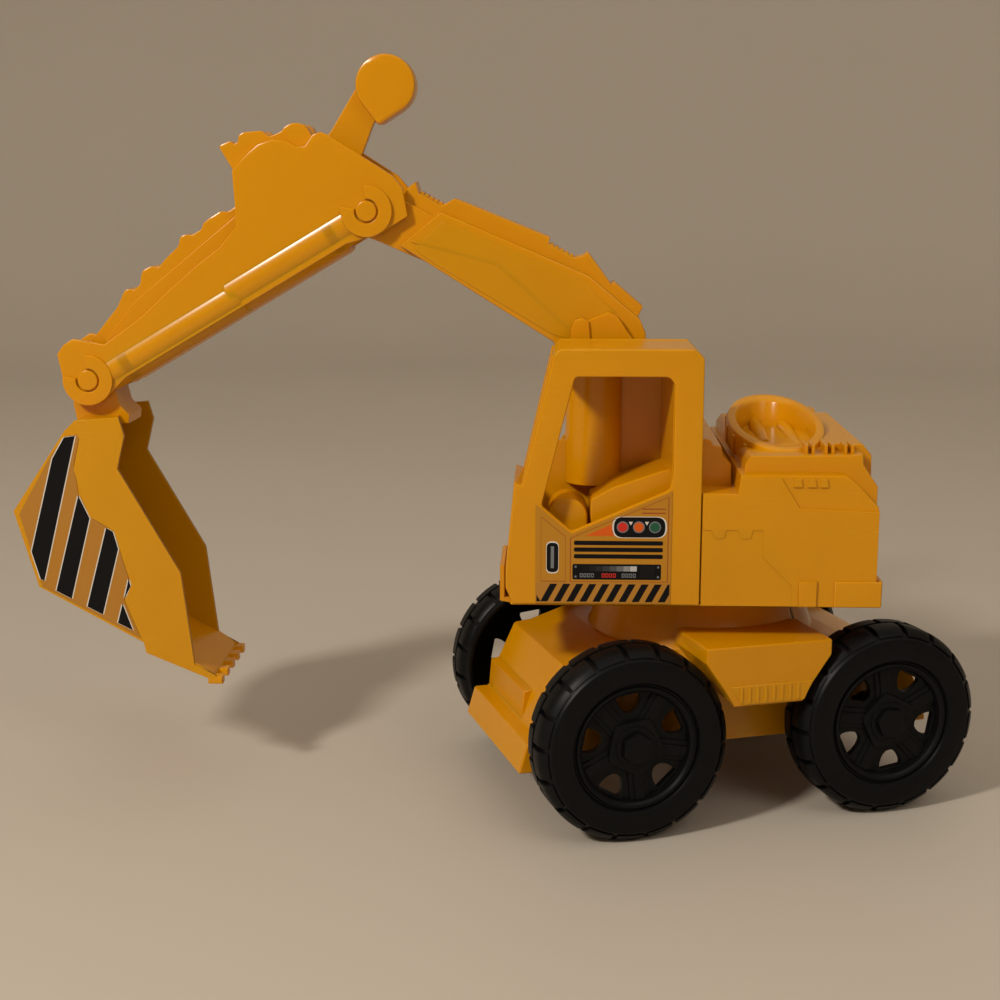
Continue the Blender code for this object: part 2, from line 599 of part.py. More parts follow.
def sticker_outline():
    """The door sticker: follows the sill above and the door's edges."""
    low = TRAY_Z + 2.5 * MM
    return [(CAB_REAR_X + 11.5 * MM, low), (CAB_FRONT_X - 14.5 * MM, low),
            (CAB_FRONT_X - 13.5 * MM, CAB_TOP_Z - 71.5 * MM),
            (CAB_FRONT_X - 28.8 * MM, CAB_TOP_Z - 82.5 * MM), (CAB_REAR_X + 16 * MM, CAB_TOP_Z - 63 * MM),
            (CAB_REAR_X + 12.3 * MM, CAB_TOP_Z - 63 * MM)]


add_piece("house_tray", tray(), house, YELLOW)
add_piece("house_shell", house_shell(), house, YELLOW)
add_piece("engine_block", engine_block(), house, YELLOW)
add_piece("right_locker", locker(), house, YELLOW)
add_piece("cab_shell", cab_shell(), house, YELLOW)
add_piece("cab_seat", cab_seat(), house, YELLOW)
add_piece("cab_console", combine(cab_console(), [console_post()]), house, YELLOW)
bracket_left = bracket()
add_piece("boom_bracket_left", bracket_left, house, YELLOW)
add_piece("boom_bracket_right", mirrored(bracket_left), house, YELLOW)
door_face = HALF_HOUSE + STICKER_GAP
door_sticker = plate(sticker_outline(), door_face, door_face + STICKER_THICKNESS)
add_piece("cab_door_sticker", door_sticker, house, STICKER)

foot_pin_end = ARM_WIDTH / 2 + LOOSE + BRACKET_THICKNESS + 2.0 * MM
foot_pin = cross_rod(BOOM_FOOT.x, BOOM_FOOT.z, -foot_pin_end, foot_pin_end, PIN_RADIUS)
add_piece("boom_foot_pin", foot_pin, house, YELLOW, smooth=True)

washer_top = BOSS_END - GAP
washer_low = washer_top - WASHER_THICKNESS
washer = rod((0, 0, washer_low), (0, 0, washer_top), WASHER_RADIUS)
washer_hole = rod((0, 0, washer_low - 2 * MM), (0, 0, washer_top + 2 * MM), SCREW_RADIUS + GAP, steps=16)
add_piece("slew_washer", combine(washer, cut=[washer_hole]), house, STEEL)
slew_screw_head = (0, 0, washer_low - GAP - SCREW_HEAD_HEIGHT)
add_piece("slew_screw", screw(slew_screw_head, (0, 0, 1), 7 * MM), house, STEEL)
for number, (x, y) in enumerate(HOUSE_SCREWS, 1):
    head_at = (x, y, TRAY_Z + HEAD_RECESS - GAP - SCREW_HEAD_HEIGHT)
    add_piece(f"house_screw_{number}", screw(head_at, (0, 0, 1), 12 * MM), house, STEEL)


# ---------------------------------------------------------------- boom

BOOM_SCREWS = [(34 * MM, 6 * MM), (BOOM_LENGTH - 36 * MM, 5 * MM)]
BOOM_END = BOOM_LENGTH - 20.7 * MM    # where the casing stops and the tongue goes on


def beyond_seam(length):
    """Everything right of a left half's seam, for a link of this length."""
    return box((-2 * length, -ARM_WIDTH, -length), (2 * length, SEAM, length))


def boom_side(inset):
    """Side view of the boom's casing between its foot and the tongue."""
    end = BOOM_END
    foot = arc((0.0, 0.0), 20.0 * MM - inset, 300, 140, 12)
    return [(20 * MM, -11.4 * MM + inset)] + foot + [
        (-10 * MM, 17 * MM - inset), (20 * MM, 23 * MM - inset),
        (end - 9.2 * MM - inset, 16 * MM - inset), (end - inset, -6.6 * MM + inset)]


def boom_spine():
    """Side view of the ribbed cover along the boom's top."""
    end = BOOM_END
    return [(-16 * MM, 8 * MM), (-9 * MM, 22 * MM), (8 * MM, 25 * MM), (22 * MM, 30 * MM), (26 * MM, 31 * MM),
            (30 * MM, 27 * MM), (43 * MM, 26 * MM), (45 * MM, 29.4 * MM), (end - 16.5 * MM, 24.6 * MM),
            (end - 11.5 * MM, 23.6 * MM), (end - 9.5 * MM, 19 * MM), (end + 3 * MM, 18 * MM),
            (end + 8 * MM, 20 * MM), (end + 9 * MM, 12 * MM), (end - 8 * MM, 5 * MM), (20 * MM, 5 * MM)]


def boom_half():
    """Left half of the boom, open at the middle plane."""
    tongue = plate([(BOOM_LENGTH - 46 * MM, -7 * MM)] + arc((BOOM_LENGTH, 0.0), TONGUE_RADIUS, -90, 100, 14)
                   + [(BOOM_LENGTH - 46 * MM, 13 * MM)], -1 * MM, HALF_TONGUE)
    spine = plate(boom_spine(), -2 * MM, 9 * MM)
    side = plate(boom_side(0.0), -3 * MM, HALF_ARM)
    pocket = plate(boom_side(ARM_WALL), -HALF_ARM, HALF_ARM - ARM_WALL)
    hollow = combine(side, cut=[pocket])
    bosses = [cross_rod(0.0, 0.0, -4 * MM, HALF_ARM - 1 * MM, PIN_RADIUS + 3 * MM)]
    bosses += [cross_rod(x, z, -5 * MM, HALF_ARM - 1 * MM, SCREW_HEAD_RADIUS + 1.2 * MM, 16)
               for x, z in BOOM_SCREWS]
    holes = [cross_rod(x, 0.0, -HALF_ARM, 2 * HALF_ARM, PIN_RADIUS + GAP) for x in (0.0, BOOM_LENGTH)]
    return combine(hollow, [tongue, spine] + bosses, holes + [beyond_seam(BOOM_LENGTH)])


def split(left, screws):
    """Both halves: blind screw holes in the left one, through holes with recesses in the right."""
    bore, recess = SCREW_RADIUS + GAP, SCREW_HEAD_RADIUS + GAP
    blind = [cross_rod(x, z, -HALF_ARM, HALF_ARM - 4 * MM, bore, 12) for x, z in screws]
    head = [cross_rod(x, z, -2 * HALF_ARM, -HALF_ARM + 2 * MM, recess, 16) for x, z in screws]
    through = [cross_rod(x, z, -HALF_ARM + 1 * MM, HALF_ARM, bore, 12) for x, z in screws]
    right = combine(mirrored(left), cut=head + through)
    return combine(left, cut=blind), right


def arm_screws(label, screws, parent):
    head_y = -HALF_ARM + 2 * MM - GAP - SCREW_HEAD_HEIGHT
    for number, (x, z) in enumerate(screws, 1):
        piece = screw((x, head_y, z), (0, 1, 0), 2 * HALF_ARM - 9 * MM)
        add_piece(f"{label}_screw_{number}", piece, parent, STEEL)


boom_left, boom_right = split(boom_half(), BOOM_SCREWS)
add_piece("boom_left_half", boom_left, boom, YELLOW)
add_piece("boom_right_half", boom_right, boom, YELLOW)
arm_screws("boom", BOOM_SCREWS, boom)


# ---------------------------------------------------------------- stick

STICK_SCREWS = [(44 * MM, 0.0), (82 * MM, -1 * MM), (114 * MM, -1 * MM)]
ground_link = Vector((STICK_LENGTH, 0.0, 0.0)) - LEVER_PIVOT
crank_up = Vector((-ground_link.z, 0.0, ground_link.x)).normalized() * CRANK
rod_pin_at = LEVER_PIVOT + crank_up


def cheek_outline():
    """Flat elbow cheek: a rounded lower corner round the pin and a domed top."""
    return mm((50.5, -8), (50.5, 33), (43.5, 46.5), (33.5, 49.5), (27, 50.5), (20, 49), (15, 45),
              (12.5, 40.7), (8.5, 39), (3, 41.5), (-0.5, 40.8), (-2.6, 38), (-10.1, 23.7), (-18.3, 7.8)) + \
        arc((0.0, 0.0), 19.0 * MM, 175, 215, 4) + arc((0.0, 0.0), 12.4 * MM, 230, 270, 4)


def rib_outline(first, last, count):
    """Sawtooth of ribs falling along the stick's top, closed along its middle."""
    points = []
    pitch = (last[0] - first[0]) / count
    fall = (last[1] - first[1]) / count
    for i in range(count):
        x, z = first[0] + pitch * i, first[1] + fall * i
        points += [(x, z), (x + 0.35 * pitch, z), (x + 0.6 * pitch, z - 3.4 * MM), (x + pitch, z - 3.4 * MM)]
    return points + [(last[0], last[1] - 12 * MM), (first[0], first[1] - 16 * MM)]


def web_outline(start, end):
    """Recessed upper part of the stick between the elbow and the bucket pin."""
    return [(start + 1 * MM, -6 * MM), (end - 1 * MM, -6 * MM), (end - 1 * MM, 16 * MM),
            (STICK_LENGTH - 38 * MM, 22 * MM), (51 * MM, 31 * MM), (start + 1 * MM, 31 * MM)]


def end_cheek_outline():
    """End plate round the bucket pin, with a cut-off upper corner."""
    end = STICK_LENGTH
    return [(end - 27 * MM, -9 * MM), (end - 27 * MM, 9 * MM), (end - 15 * MM, 19.5 * MM),
            (end - 5 * MM, 19.8 * MM), (end + 5.5 * MM, 17 * MM)] + arc((end, 0.0), 11.8 * MM, 30, -90, 8)


def relief_outline():
    """Domed detail that stands between the cheeks' top edges."""
    return mm((42.2, 44), (42.2, 57.8), (36.9, 58.6), (31.1, 57.9), (21, 53.9), (18.8, 50.5)) + \
        arc((11.5 * MM, 44.5 * MM), 6.6 * MM, 50, 165, 6) + mm((4, 37), (20, 37), (30, 44))


def rod_channel(above, below):
    """The space that the push rod needs along the stick, with room for its swing."""
    far_pin = Vector((STICK_LENGTH, 0.0, 0.0)) + crank_up
    along = (far_pin - rod_pin_at).normalized()
    up = crank_up.normalized()
    corners = (far_pin + along * 20 * MM - up * below, far_pin + along * 20 * MM + up * above,
               rod_pin_at - along * 8 * MM + up * above, rod_pin_at - along * 8 * MM - up * below)
    return [(corner.x, corner.z) for corner in corners]


def stick_half():
    """Left half of the stick, hollow, with a slot over the lever and a channel for the rod."""
    tube_y = HALF_ARM + 1.0 * MM - TUBE_RADIUS
    start, end = ELBOW_ROOM + 1.0 * MM, STICK_LENGTH - ELBOW_ROOM - 1.0 * MM
    big_z, small_z = TUBE_BOTTOM + TUBE_RADIUS, TUBE_BOTTOM + THIN_TUBE_RADIUS
    cheek = plate(cheek_outline(), HALF_TONGUE + LOOSE, HALF_ARM)
    big_tube = rod((start, tube_y, big_z), (77 * MM, tube_y, big_z), TUBE_RADIUS)
    tube = rod((70 * MM, tube_y, small_z), (end, tube_y, small_z), THIN_TUBE_RADIUS)
    web = plate(web_outline(start, end), -1 * MM, 11 * MM)
    ribs = plate(rib_outline((52 * MM, 34.5 * MM), (end - 4 * MM, 19 * MM), 4), -2 * MM, 9 * MM)
    relief = plate(relief_outline(), ROD_SIDE, HALF_TONGUE + 1.5 * MM)
    end_cheek = plate(end_cheek_outline(), KNUCKLE_WIDTH / 2 + LOOSE, HALF_ARM)
    collars = [cross_rod(x, 0.0, HALF_ARM - 1 * MM, HALF_ARM + 1.2 * MM, 11.4 * MM)
               for x in (0.0, STICK_LENGTH)]
    solid = combine(cheek, [web, big_tube, tube, ribs, relief, end_cheek] + collars)
    lever_room = mm((-5, 24), (8, 8), (22, 7), (31.5, 12), (32, 32), (14, 36.6), (-5, 40))
    channel = rod_channel(ROD_EYE_RADIUS + 1.2 * MM, ROD_EYE_RADIUS + 3.5 * MM)
    tube_room = box((start + 4 * MM, -3 * MM, -7 * MM), (end - 4 * MM, tube_y + 7.5 * MM, 6 * MM))
    right_side = beyond_seam(STICK_LENGTH)
    hollow = combine(solid, cut=[
        right_side, plate(lever_room, -2 * MM, ROD_SIDE + ROD_THICKNESS + 1.1 * MM),
        plate(channel, -2.5 * MM, ROD_SIDE + ROD_THICKNESS + 1.3 * MM), tube_room])
    bosses = [cross_rod(x, z, -4 * MM, tube_y + 8.3 * MM, SCREW_HEAD_RADIUS + 1.2 * MM, 16)
              for x, z in STICK_SCREWS]
    bosses.append(cross_rod(LEVER_PIVOT.x, LEVER_PIVOT.z, ROD_SIDE, HALF_TONGUE + 1 * MM, 4.2 * MM, 20))
    holes = [cross_rod(x, 0.0, -HALF_ARM, 2 * HALF_ARM, PIN_RADIUS + GAP) for x in (0.0, STICK_LENGTH)]
    lever_bore = LEVER_PIN_RADIUS + GAP
    holes.append(cross_rod(LEVER_PIVOT.x, LEVER_PIVOT.z, -HALF_ARM, LEVER_PIN_HALF + GAP, lever_bore, 16))
    return combine(hollow, bosses, holes + [right_side])


stick_left, stick_right = split(stick_half(), STICK_SCREWS)
add_piece("stick_left_half", stick_left, stick, YELLOW)
add_piece("stick_right_half", stick_right, stick, YELLOW)
arm_screws("stick", STICK_SCREWS, stick)
pin_end = HALF_ARM + 0.6 * MM
add_piece("elbow_pin", cross_rod(0.0, 0.0, -pin_end, pin_end, PIN_RADIUS), stick, YELLOW, smooth=True)
bucket_pin = cross_rod(STICK_LENGTH, 0.0, -pin_end, pin_end, PIN_RADIUS)
add_piece("bucket_pin", bucket_pin, stick, YELLOW, smooth=True)
lever_pin = cross_rod(LEVER_PIVOT.x, LEVER_PIVOT.z, -LEVER_PIN_HALF, LEVER_PIN_HALF, LEVER_PIN_RADIUS, 20)
add_piece("lever_pin", lever_pin, stick, STEEL, smooth=True)


# ---------------------------------------------------------------- lever and push rod

def lever():
    """Handle plate with a thick round knob; its lower end carries the rod's stud."""
    half = LEVER_THICKNESS / 2
    arm = plate(mm((-34, 56), (-22.7, 50.1), (-2.9, 39.7), (19, 33.5), (24, 30), (24, 18), (18, 14), (10, 15),
                   (-10.4, 23.6), (-22.1, 32.7), (-40, 40)), -half, half)
    knob_at = (-35.9 * MM, 44.3 * MM)
    knob = plate(arc(knob_at, KNOB_RADIUS, -7, 268, 24) + mm((-25.2, 30.2), (-23.8, 31.2)),
                 -KNOB_THICKNESS / 2, KNOB_THICKNESS / 2)
    stud = cross_rod(rod_pin_at.x, rod_pin_at.z, 0.0, ROD_SIDE + ROD_THICKNESS + 0.8 * MM, ROD_PIN_RADIUS, 16)
    hole = cross_rod(LEVER_PIVOT.x, LEVER_PIVOT.z, -2 * half, 2 * half, LEVER_PIN_RADIUS + GAP, 20)
    return combine(arm, [knob, stud], [hole])


def push_rod():
    far_pin = Vector((STICK_LENGTH, 0.0, 0.0)) + crank_up
    along = (far_pin - rod_pin_at).normalized()
    tilt = math.degrees(math.atan2(along.z, along.x))
    outline = arc((far_pin.x, far_pin.z), ROD_EYE_RADIUS, tilt - 90, tilt + 90, 8)
    outline += arc((rod_pin_at.x, rod_pin_at.z), ROD_EYE_RADIUS, tilt + 90, tilt + 270, 8)
    holes = [cross_rod(at.x, at.z, 0.0, HALF_ARM, ROD_PIN_RADIUS + GAP, 16) for at in (rod_pin_at, far_pin)]
    return combine(plate(outline, ROD_SIDE, ROD_SIDE + ROD_THICKNESS), cut=holes)


add_piece("grab_lever", lever(), stick, YELLOW)
add_piece("push_rod", push_rod(), stick, YELLOW)


# ---------------------------------------------------------------- bucket

def bucket_outline():
    """Side view: back, floor, blade and the mouth's edge."""
    return mm((3.8, -17.3), (9, -22.3), (34.9, -60.4), (24.7, -96.7), (-24.6, -123.9), (-25, -128.5),
              (-61.2, -143.8), (-60.5, -141), (-48, -134.1), (-42.9, -89.2), (-15.2, -39.8), (-19.1, -24.3),
              (-16.7, -15.5))


def bucket_hollow():
    """Side view of the space inside, open through the mouth."""
    wall = BUCKET_WALL / MM
    return mm((0, -21), (9 - wall, -22.3), (34.9 - wall, -60.4), (24.7 - wall, -96.7 + wall),
              (-26, -123.9 + wall), (-48, -133), (-80, -146), (-60, -90), (-26, -30))


def rod_stud_at():
    """The rod's far pin, in the bucket's frame (the stick's direction turned upright)."""
    turn = Matrix.Rotation(-STICK_ANGLE, 3, "Y")
    return turn @ crank_up


def bucket_shell():
    half, knuckle_half = BUCKET_WIDTH / 2, KNUCKLE_WIDTH / 2
    shell = combine(plate(bucket_outline(), -half, half),
                    cut=[plate(bucket_hollow(), -half + BUCKET_WALL, half - BUCKET_WALL)])
    knuckle = plate(mm((7, -24), (-17, -22), (-17.5, -17), (-13, -12), (-11, -3), (11, -3), (9, -12)),
                    -knuckle_half, knuckle_half)
    barrel = cross_rod(0.0, 0.0, -knuckle_half - 0.05 * MM, knuckle_half + 0.05 * MM, PIN_RADIUS + 3.6 * MM)
    at = rod_stud_at()
    rod_room = box((-20 * MM, LEVER_THICKNESS / 2, at.z - 4.9 * MM),
                   (20 * MM, ROD_SIDE + ROD_THICKNESS + 1.5 * MM, 20 * MM))
    hinge = combine(knuckle, [barrel], [rod_room])
    side = math.degrees(math.atan2(at.z, at.x))
    horn_outline = arc((0.0, 0.0), 5.6 * MM, side - 240, side - 120, 6)
    horn_outline += arc((at.x, at.z), ROD_EYE_RADIUS, side - 70, side + 70, 8)
    horn = plate(horn_outline, -LEVER_THICKNESS / 2 + 0.1 * MM, LEVER_THICKNESS / 2 - 0.1 * MM)
    stud = cross_rod(at.x, at.z, 0.0, ROD_SIDE + ROD_THICKNESS + 0.8 * MM, ROD_PIN_RADIUS, 16)
    pin_hole = cross_rod(0.0, 0.0, -half, half, PIN_RADIUS + GAP)
    gap_width = BUCKET_WIDTH / (2 * TEETH - 1)
    notches = []
    for i in range(TEETH - 1):
        y = -half + gap_width * (2 * i + 1)
        notches.append(box((-70 * MM, y, -160 * MM), (-56.5 * MM, y + gap_width, -120 * MM)))
    return combine(shell, [hinge, horn, stud], [pin_hole] + notches)


def bucket_sticker_outline():
    """Sticker on the bucket's side, inside the raised band along the mouth."""
    return mm((4, -24), (30, -61), (21.5, -93), (-20, -116.5), (-13, -100), (-9.5, -75), (3, -61), (7, -40),
              (2.5, -27))


add_piece("bucket", bucket_shell(), bucket, YELLOW)
sticker_low = BUCKET_WIDTH / 2 + STICKER_GAP
left_sticker = plate(bucket_sticker_outline(), sticker_low, sticker_low + STICKER_THICKNESS)
add_piece("bucket_sticker_left", left_sticker, bucket, STICKER)
add_piece("bucket_sticker_right", mirrored(left_sticker), bucket, STICKER)


# ---------------------------------------------------------------- origin under the middle of the whole

bpy.context.view_layer.update()
corners = [piece.matrix_world @ Vector(corner)
           for piece in parts.objects if piece.type == "MESH" for corner in piece.bound_box]
middle_x = (min(c.x for c in corners) + max(c.x for c in corners)) / 2
middle_y = (min(c.y for c in corners) + max(c.y for c in corners)) / 2
machine.location = (-middle_x, -middle_y, 0.0)
bpy.context.view_layer.update()
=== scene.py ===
# %% [markdown]
# # A toy excavator
# A push-along excavator moulded in yellow plastic, on black wheels, with printed stickers on the
# cab door and on the bucket. The engineering model gives the frame: its solids, joints and sizes.
# This lesson dresses it. Each cell makes one piece or one finish, and says how and why.

# %% Load the frame
import json
import math

import bmesh
import bpy
from mathutils import Matrix, Vector


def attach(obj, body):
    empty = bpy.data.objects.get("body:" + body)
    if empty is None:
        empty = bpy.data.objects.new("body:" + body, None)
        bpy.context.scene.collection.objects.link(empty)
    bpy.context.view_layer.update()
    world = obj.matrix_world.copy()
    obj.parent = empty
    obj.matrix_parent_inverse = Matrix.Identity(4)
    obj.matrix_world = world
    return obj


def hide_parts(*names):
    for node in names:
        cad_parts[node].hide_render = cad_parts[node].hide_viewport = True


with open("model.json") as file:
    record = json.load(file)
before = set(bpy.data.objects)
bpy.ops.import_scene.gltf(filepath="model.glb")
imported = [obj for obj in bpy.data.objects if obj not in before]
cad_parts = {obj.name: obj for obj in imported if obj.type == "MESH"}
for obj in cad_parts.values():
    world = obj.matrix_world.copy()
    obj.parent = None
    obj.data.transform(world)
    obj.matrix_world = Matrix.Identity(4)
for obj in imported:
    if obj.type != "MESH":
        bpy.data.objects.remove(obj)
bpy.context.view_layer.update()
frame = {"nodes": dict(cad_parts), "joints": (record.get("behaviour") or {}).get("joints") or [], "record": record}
joints = {joint["name"]: joint for joint in frame["joints"]}
MM = 0.001

# %% [markdown]
# ## Local frames
# Every moving body is easier to draw along its own length than in the machine's frame. The joints
# say where each body's frame goes: the boom's X axis runs from its foot to the elbow, the stick's
# from the elbow to the bucket pin, and the chassis is turned so that its axles lie along Y.

# %% Frames from the joints
def pivot(name):
    return Vector(joints[name]["pos_m"])


def along(start, end):
    reach = end - start
    return Matrix.Translation(start) @ Matrix.Rotation(-math.atan2(reach.z, reach.x), 4, "Y")


turn_centre = pivot("slew")
axle_line = Vector(joints["front_axle_spin"]["axis"])
HOUSE = Matrix.Translation((turn_centre.x, turn_centre.y, 0.0))
CHASSIS = HOUSE @ Matrix.Rotation(math.atan2(-axle_line.x, axle_line.y), 4, "Z")
BOOM = along(pivot("boom_pivot"), pivot("stick_pivot"))
STICK = along(pivot("stick_pivot"), pivot("bucket_pivot"))
BUCKET = Matrix.Translation(pivot("bucket_pivot"))
boom_length = (pivot("stick_pivot") - pivot("boom_pivot")).length / MM
stick_length = (pivot("bucket_pivot") - pivot("stick_pivot")).length / MM
foot = HOUSE.inverted() @ pivot("boom_pivot") / MM
FOOT_X, FOOT_Z = foot.x, foot.z
print(f"boom foot at {FOOT_X:.2f}, {FOOT_Z:.2f} mm")
print(f"boom {boom_length:.1f} mm, stick {stick_length:.1f} mm")

# %% [markdown]
# ## Slabs
# Most of a moulded toy is flat walls and ribs with slightly rounded edges. A filled 2D curve makes
# exactly that: the outline gives the side view, Extrude the thickness, and the curve's own bevel
# the soft edge. A negative offset keeps the outside at the drawn size. Sizes are in millimetres.

# %% Slabs, bars and turned shapes
def arc(x, z, radius, start, end, steps=10):
    angles = [math.radians(start + (end - start) * i / steps) for i in range(steps + 1)]
    return [(x + radius * math.cos(a), z + radius * math.sin(a)) for a in angles]


def rectangle(left, right, bottom, top):
    return [(left, bottom), (right, bottom), (right, top), (left, top)]


def circle(x, z, radius):
    return arc(x, z, radius, 0, 345, 23)


def polar(radius, degrees):
    return (radius * math.cos(math.radians(degrees)), radius * math.sin(math.radians(degrees)))


def eased(points, radius, steps=4):
    """The same outline with each corner rounded, as far as its edges allow."""
    result = []
    for before, corner, after in zip(points[-1:] + points[:-1], points, points[1:] + points[:1]):
        corner, before, after = Vector(corner), Vector(before), Vector(after)
        reach = min(radius, (before - corner).length * 0.45, (after - corner).length * 0.45)
        start = corner + (before - corner).normalized() * reach
        end = corner + (after - corner).normalized() * reach
        for i in range(steps + 1):
            t = i / steps
            result.append(tuple(start * (1 - t) ** 2 + corner * 2 * t * (1 - t) + end * t ** 2))
    return result


def cleaned(mesh):
    build = bmesh.new()
    build.from_mesh(mesh)
    bmesh.ops.remove_doubles(build, verts=build.verts, dist=1e-6)
    bmesh.ops.recalc_face_normals(build, faces=build.faces)
    build.to_mesh(mesh)
    build.free()
    return mesh


def slab(outline, low, high, edge=0.4, holes=(), view="side"):
    """A flat shape with thickness. Side views are (x, z) and lie along Y, fronts (y, z) along X."""
    curve = bpy.data.curves.new("slab", "CURVE")
    curve.dimensions = "2D"
    curve.fill_mode = "BOTH"
    curve.extrude = ((high - low) / 2 - edge) * MM
    curve.bevel_depth = edge * MM
    curve.bevel_resolution = 1
    curve.offset = -edge * MM
    for points in (outline, *holes):
        spline = curve.splines.new("POLY")
        spline.points.add(len(points) - 1)
        spline.use_cyclic_u = True
        for point, (across, up) in zip(spline.points, points):
            point.co = (across * MM, up * MM, 0.0, 1.0)
    holder = bpy.data.objects.new("slab", curve)
    bpy.context.scene.collection.objects.link(holder)
    graph = bpy.context.evaluated_depsgraph_get()
    mesh = bpy.data.meshes.new_from_object(holder.evaluated_get(graph))
    bpy.data.objects.remove(holder)
    middle = (low + high) / 2 * MM
    if view == "side":
        mesh.transform(Matrix.Translation((0, middle, 0)) @ Matrix.Rotation(math.radians(90), 4, "X"))
    elif view == "front":
        stand = Matrix.Rotation(math.radians(90), 4, "Z") @ Matrix.Rotation(math.radians(90), 4, "X")
        mesh.transform(Matrix.Translation((middle, 0, 0)) @ stand)
    else:
        mesh.transform(Matrix.Translation((0, 0, middle)))
    return cleaned(mesh)


def block(x, y, z, edge=0.4):
    """A box with soft edges, from ranges along each axis."""
    return slab(rectangle(*x, *z), *y, edge)


def turned(profile, x=0.0, z=0.0, steps=48):
    """A closed profile (radius, y) spun about a cross axis."""
    build = bmesh.new()
    corners = [build.verts.new((radius * MM, side * MM, 0.0)) for radius, side in profile]
    for a, b in zip(corners, corners[1:] + corners[:1]):
        build.edges.new((a, b))
    bmesh.ops.spin(build, geom=build.verts[:] + build.edges[:], cent=(0, 0, 0), axis=(0, 1, 0),
                   angle=math.tau, steps=steps, use_merge=True)
    bmesh.ops.remove_doubles(build, verts=build.verts, dist=1e-6)
    bmesh.ops.recalc_face_normals(build, faces=build.faces)
    bmesh.ops.translate(build, vec=(x * MM, 0, z * MM), verts=build.verts)
    mesh = bpy.data.meshes.new("turned")
    build.to_mesh(mesh)
    build.free()
    return mesh


def disc(x, z, low, high, radius, edge=0.4, steps=40):
    return slab(arc(x, z, radius, 0, 360 - 360 / steps, steps - 1), low, high, edge)


def bar(start, end, radius, steps=24):
    """A round bar with domed ends, between two points in millimetres."""
    start, end = Vector(start) * MM, Vector(end) * MM
    radius *= MM
    build = bmesh.new()
    turn = (end - start).to_track_quat("Z", "Y").to_matrix().to_4x4()
    rings = []
    length = (end - start).length
    rim = radius * 0.22
    for height, size in ((0, radius - rim), (rim * 0.3, radius - rim * 0.3), (rim, radius),
                         (length - rim, radius), (length - rim * 0.3, radius - rim * 0.3),
                         (length, radius - rim)):
        rings.append([build.verts.new((size * math.cos(math.tau * i / steps),
                                       size * math.sin(math.tau * i / steps), height))
                      for i in range(steps)])
    for lower, upper in zip(rings, rings[1:]):
        for i in range(steps):
            build.faces.new((lower[i], lower[(i + 1) % steps], upper[(i + 1) % steps], upper[i]))
    build.faces.new(rings[0][::-1])
    build.faces.new(rings[-1])
    bmesh.ops.transform(build, matrix=Matrix.Translation(start) @ turn, verts=build.verts)
    mesh = bpy.data.meshes.new("bar")
    build.to_mesh(mesh)
    build.free()
    return mesh


def flipped(mesh):
    """The same shape on the other side of the middle plane."""
    other = mesh.copy()
    other.transform(Matrix.Scale(-1, 4, (0, 1, 0)))
    other.flip_normals()
    return other


def both_sides(*meshes):
    return [side for mesh in meshes for side in (mesh, flipped(mesh))]


def piece(name, body, place, shells, replaced=(), smooth=40):
    """One object from its shells, on its body. A shell is a mesh, or a mesh with its material."""
    build = bmesh.new()
    finishes = []
    for shell in shells:
        mesh, finish = shell if isinstance(shell, tuple) else (shell, YELLOW)
        if finish not in finishes:
            finishes.append(finish)
        first = len(build.faces)
        build.from_mesh(mesh)
        build.faces.ensure_lookup_table()
        for face in build.faces[first:]:
            face.material_index = finishes.index(finish)
    bmesh.ops.transform(build, matrix=place, verts=build.verts)
    data = bpy.data.meshes.new(name)
    build.to_mesh(data)
    build.free()
    for finish in finishes:
        data.materials.append(finish)
    data.shade_smooth()
    data.set_sharp_from_angle(angle=math.radians(smooth))
    made = bpy.data.objects.new(name, data)
    bpy.context.scene.collection.objects.link(made)
    flats = made.modifiers.new("flat_faces_stay_flat", "WEIGHTED_NORMAL")
    flats.keep_sharp = True
    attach(made, body)
    if replaced:
        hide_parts(*replaced)
    print(f"{name}: {len(data.polygons)} faces")
    return made


# %% [markdown]
# ## Moulded plastic
# Injection-moulded plastic isn't one flat colour. It has a very fine texture, slow waves where it
# shrank in the mould, hair scratches from play, and a little dust that dulls the gloss. One node
# group makes these as values, and each plastic places it with its own amounts.

# %% The shared skin of moulded plastic
def link(tree, source, target):
    tree.links.new(source, target)


def math_node(tree, operation, a, b):
    node = tree.nodes.new("ShaderNodeMath")
    node.operation = operation
    for socket, value in zip(node.inputs, (a, b)):
        if isinstance(value, (int, float)):
            socket.default_value = value
        else:
            link(tree, value, socket)
    return node.outputs[0]


def noise(tree, vector, scale, detail=3.0, roughness=0.5):
    node = tree.nodes.new("ShaderNodeTexNoise")
    node.inputs["Scale"].default_value = scale
    node.inputs["Detail"].default_value = detail
    node.inputs["Roughness"].default_value = roughness
    link(tree, vector, node.inputs["Vector"])
    return node.outputs["Fac"]


def ramp(tree, value, low, high):
    """0 below low, 1 above high."""
    node = tree.nodes.new("ShaderNodeMapRange")
    node.inputs["From Min"].default_value = low
    node.inputs["From Max"].default_value = high
    link(tree, value, node.inputs["Value"])
    return node.outputs["Result"]


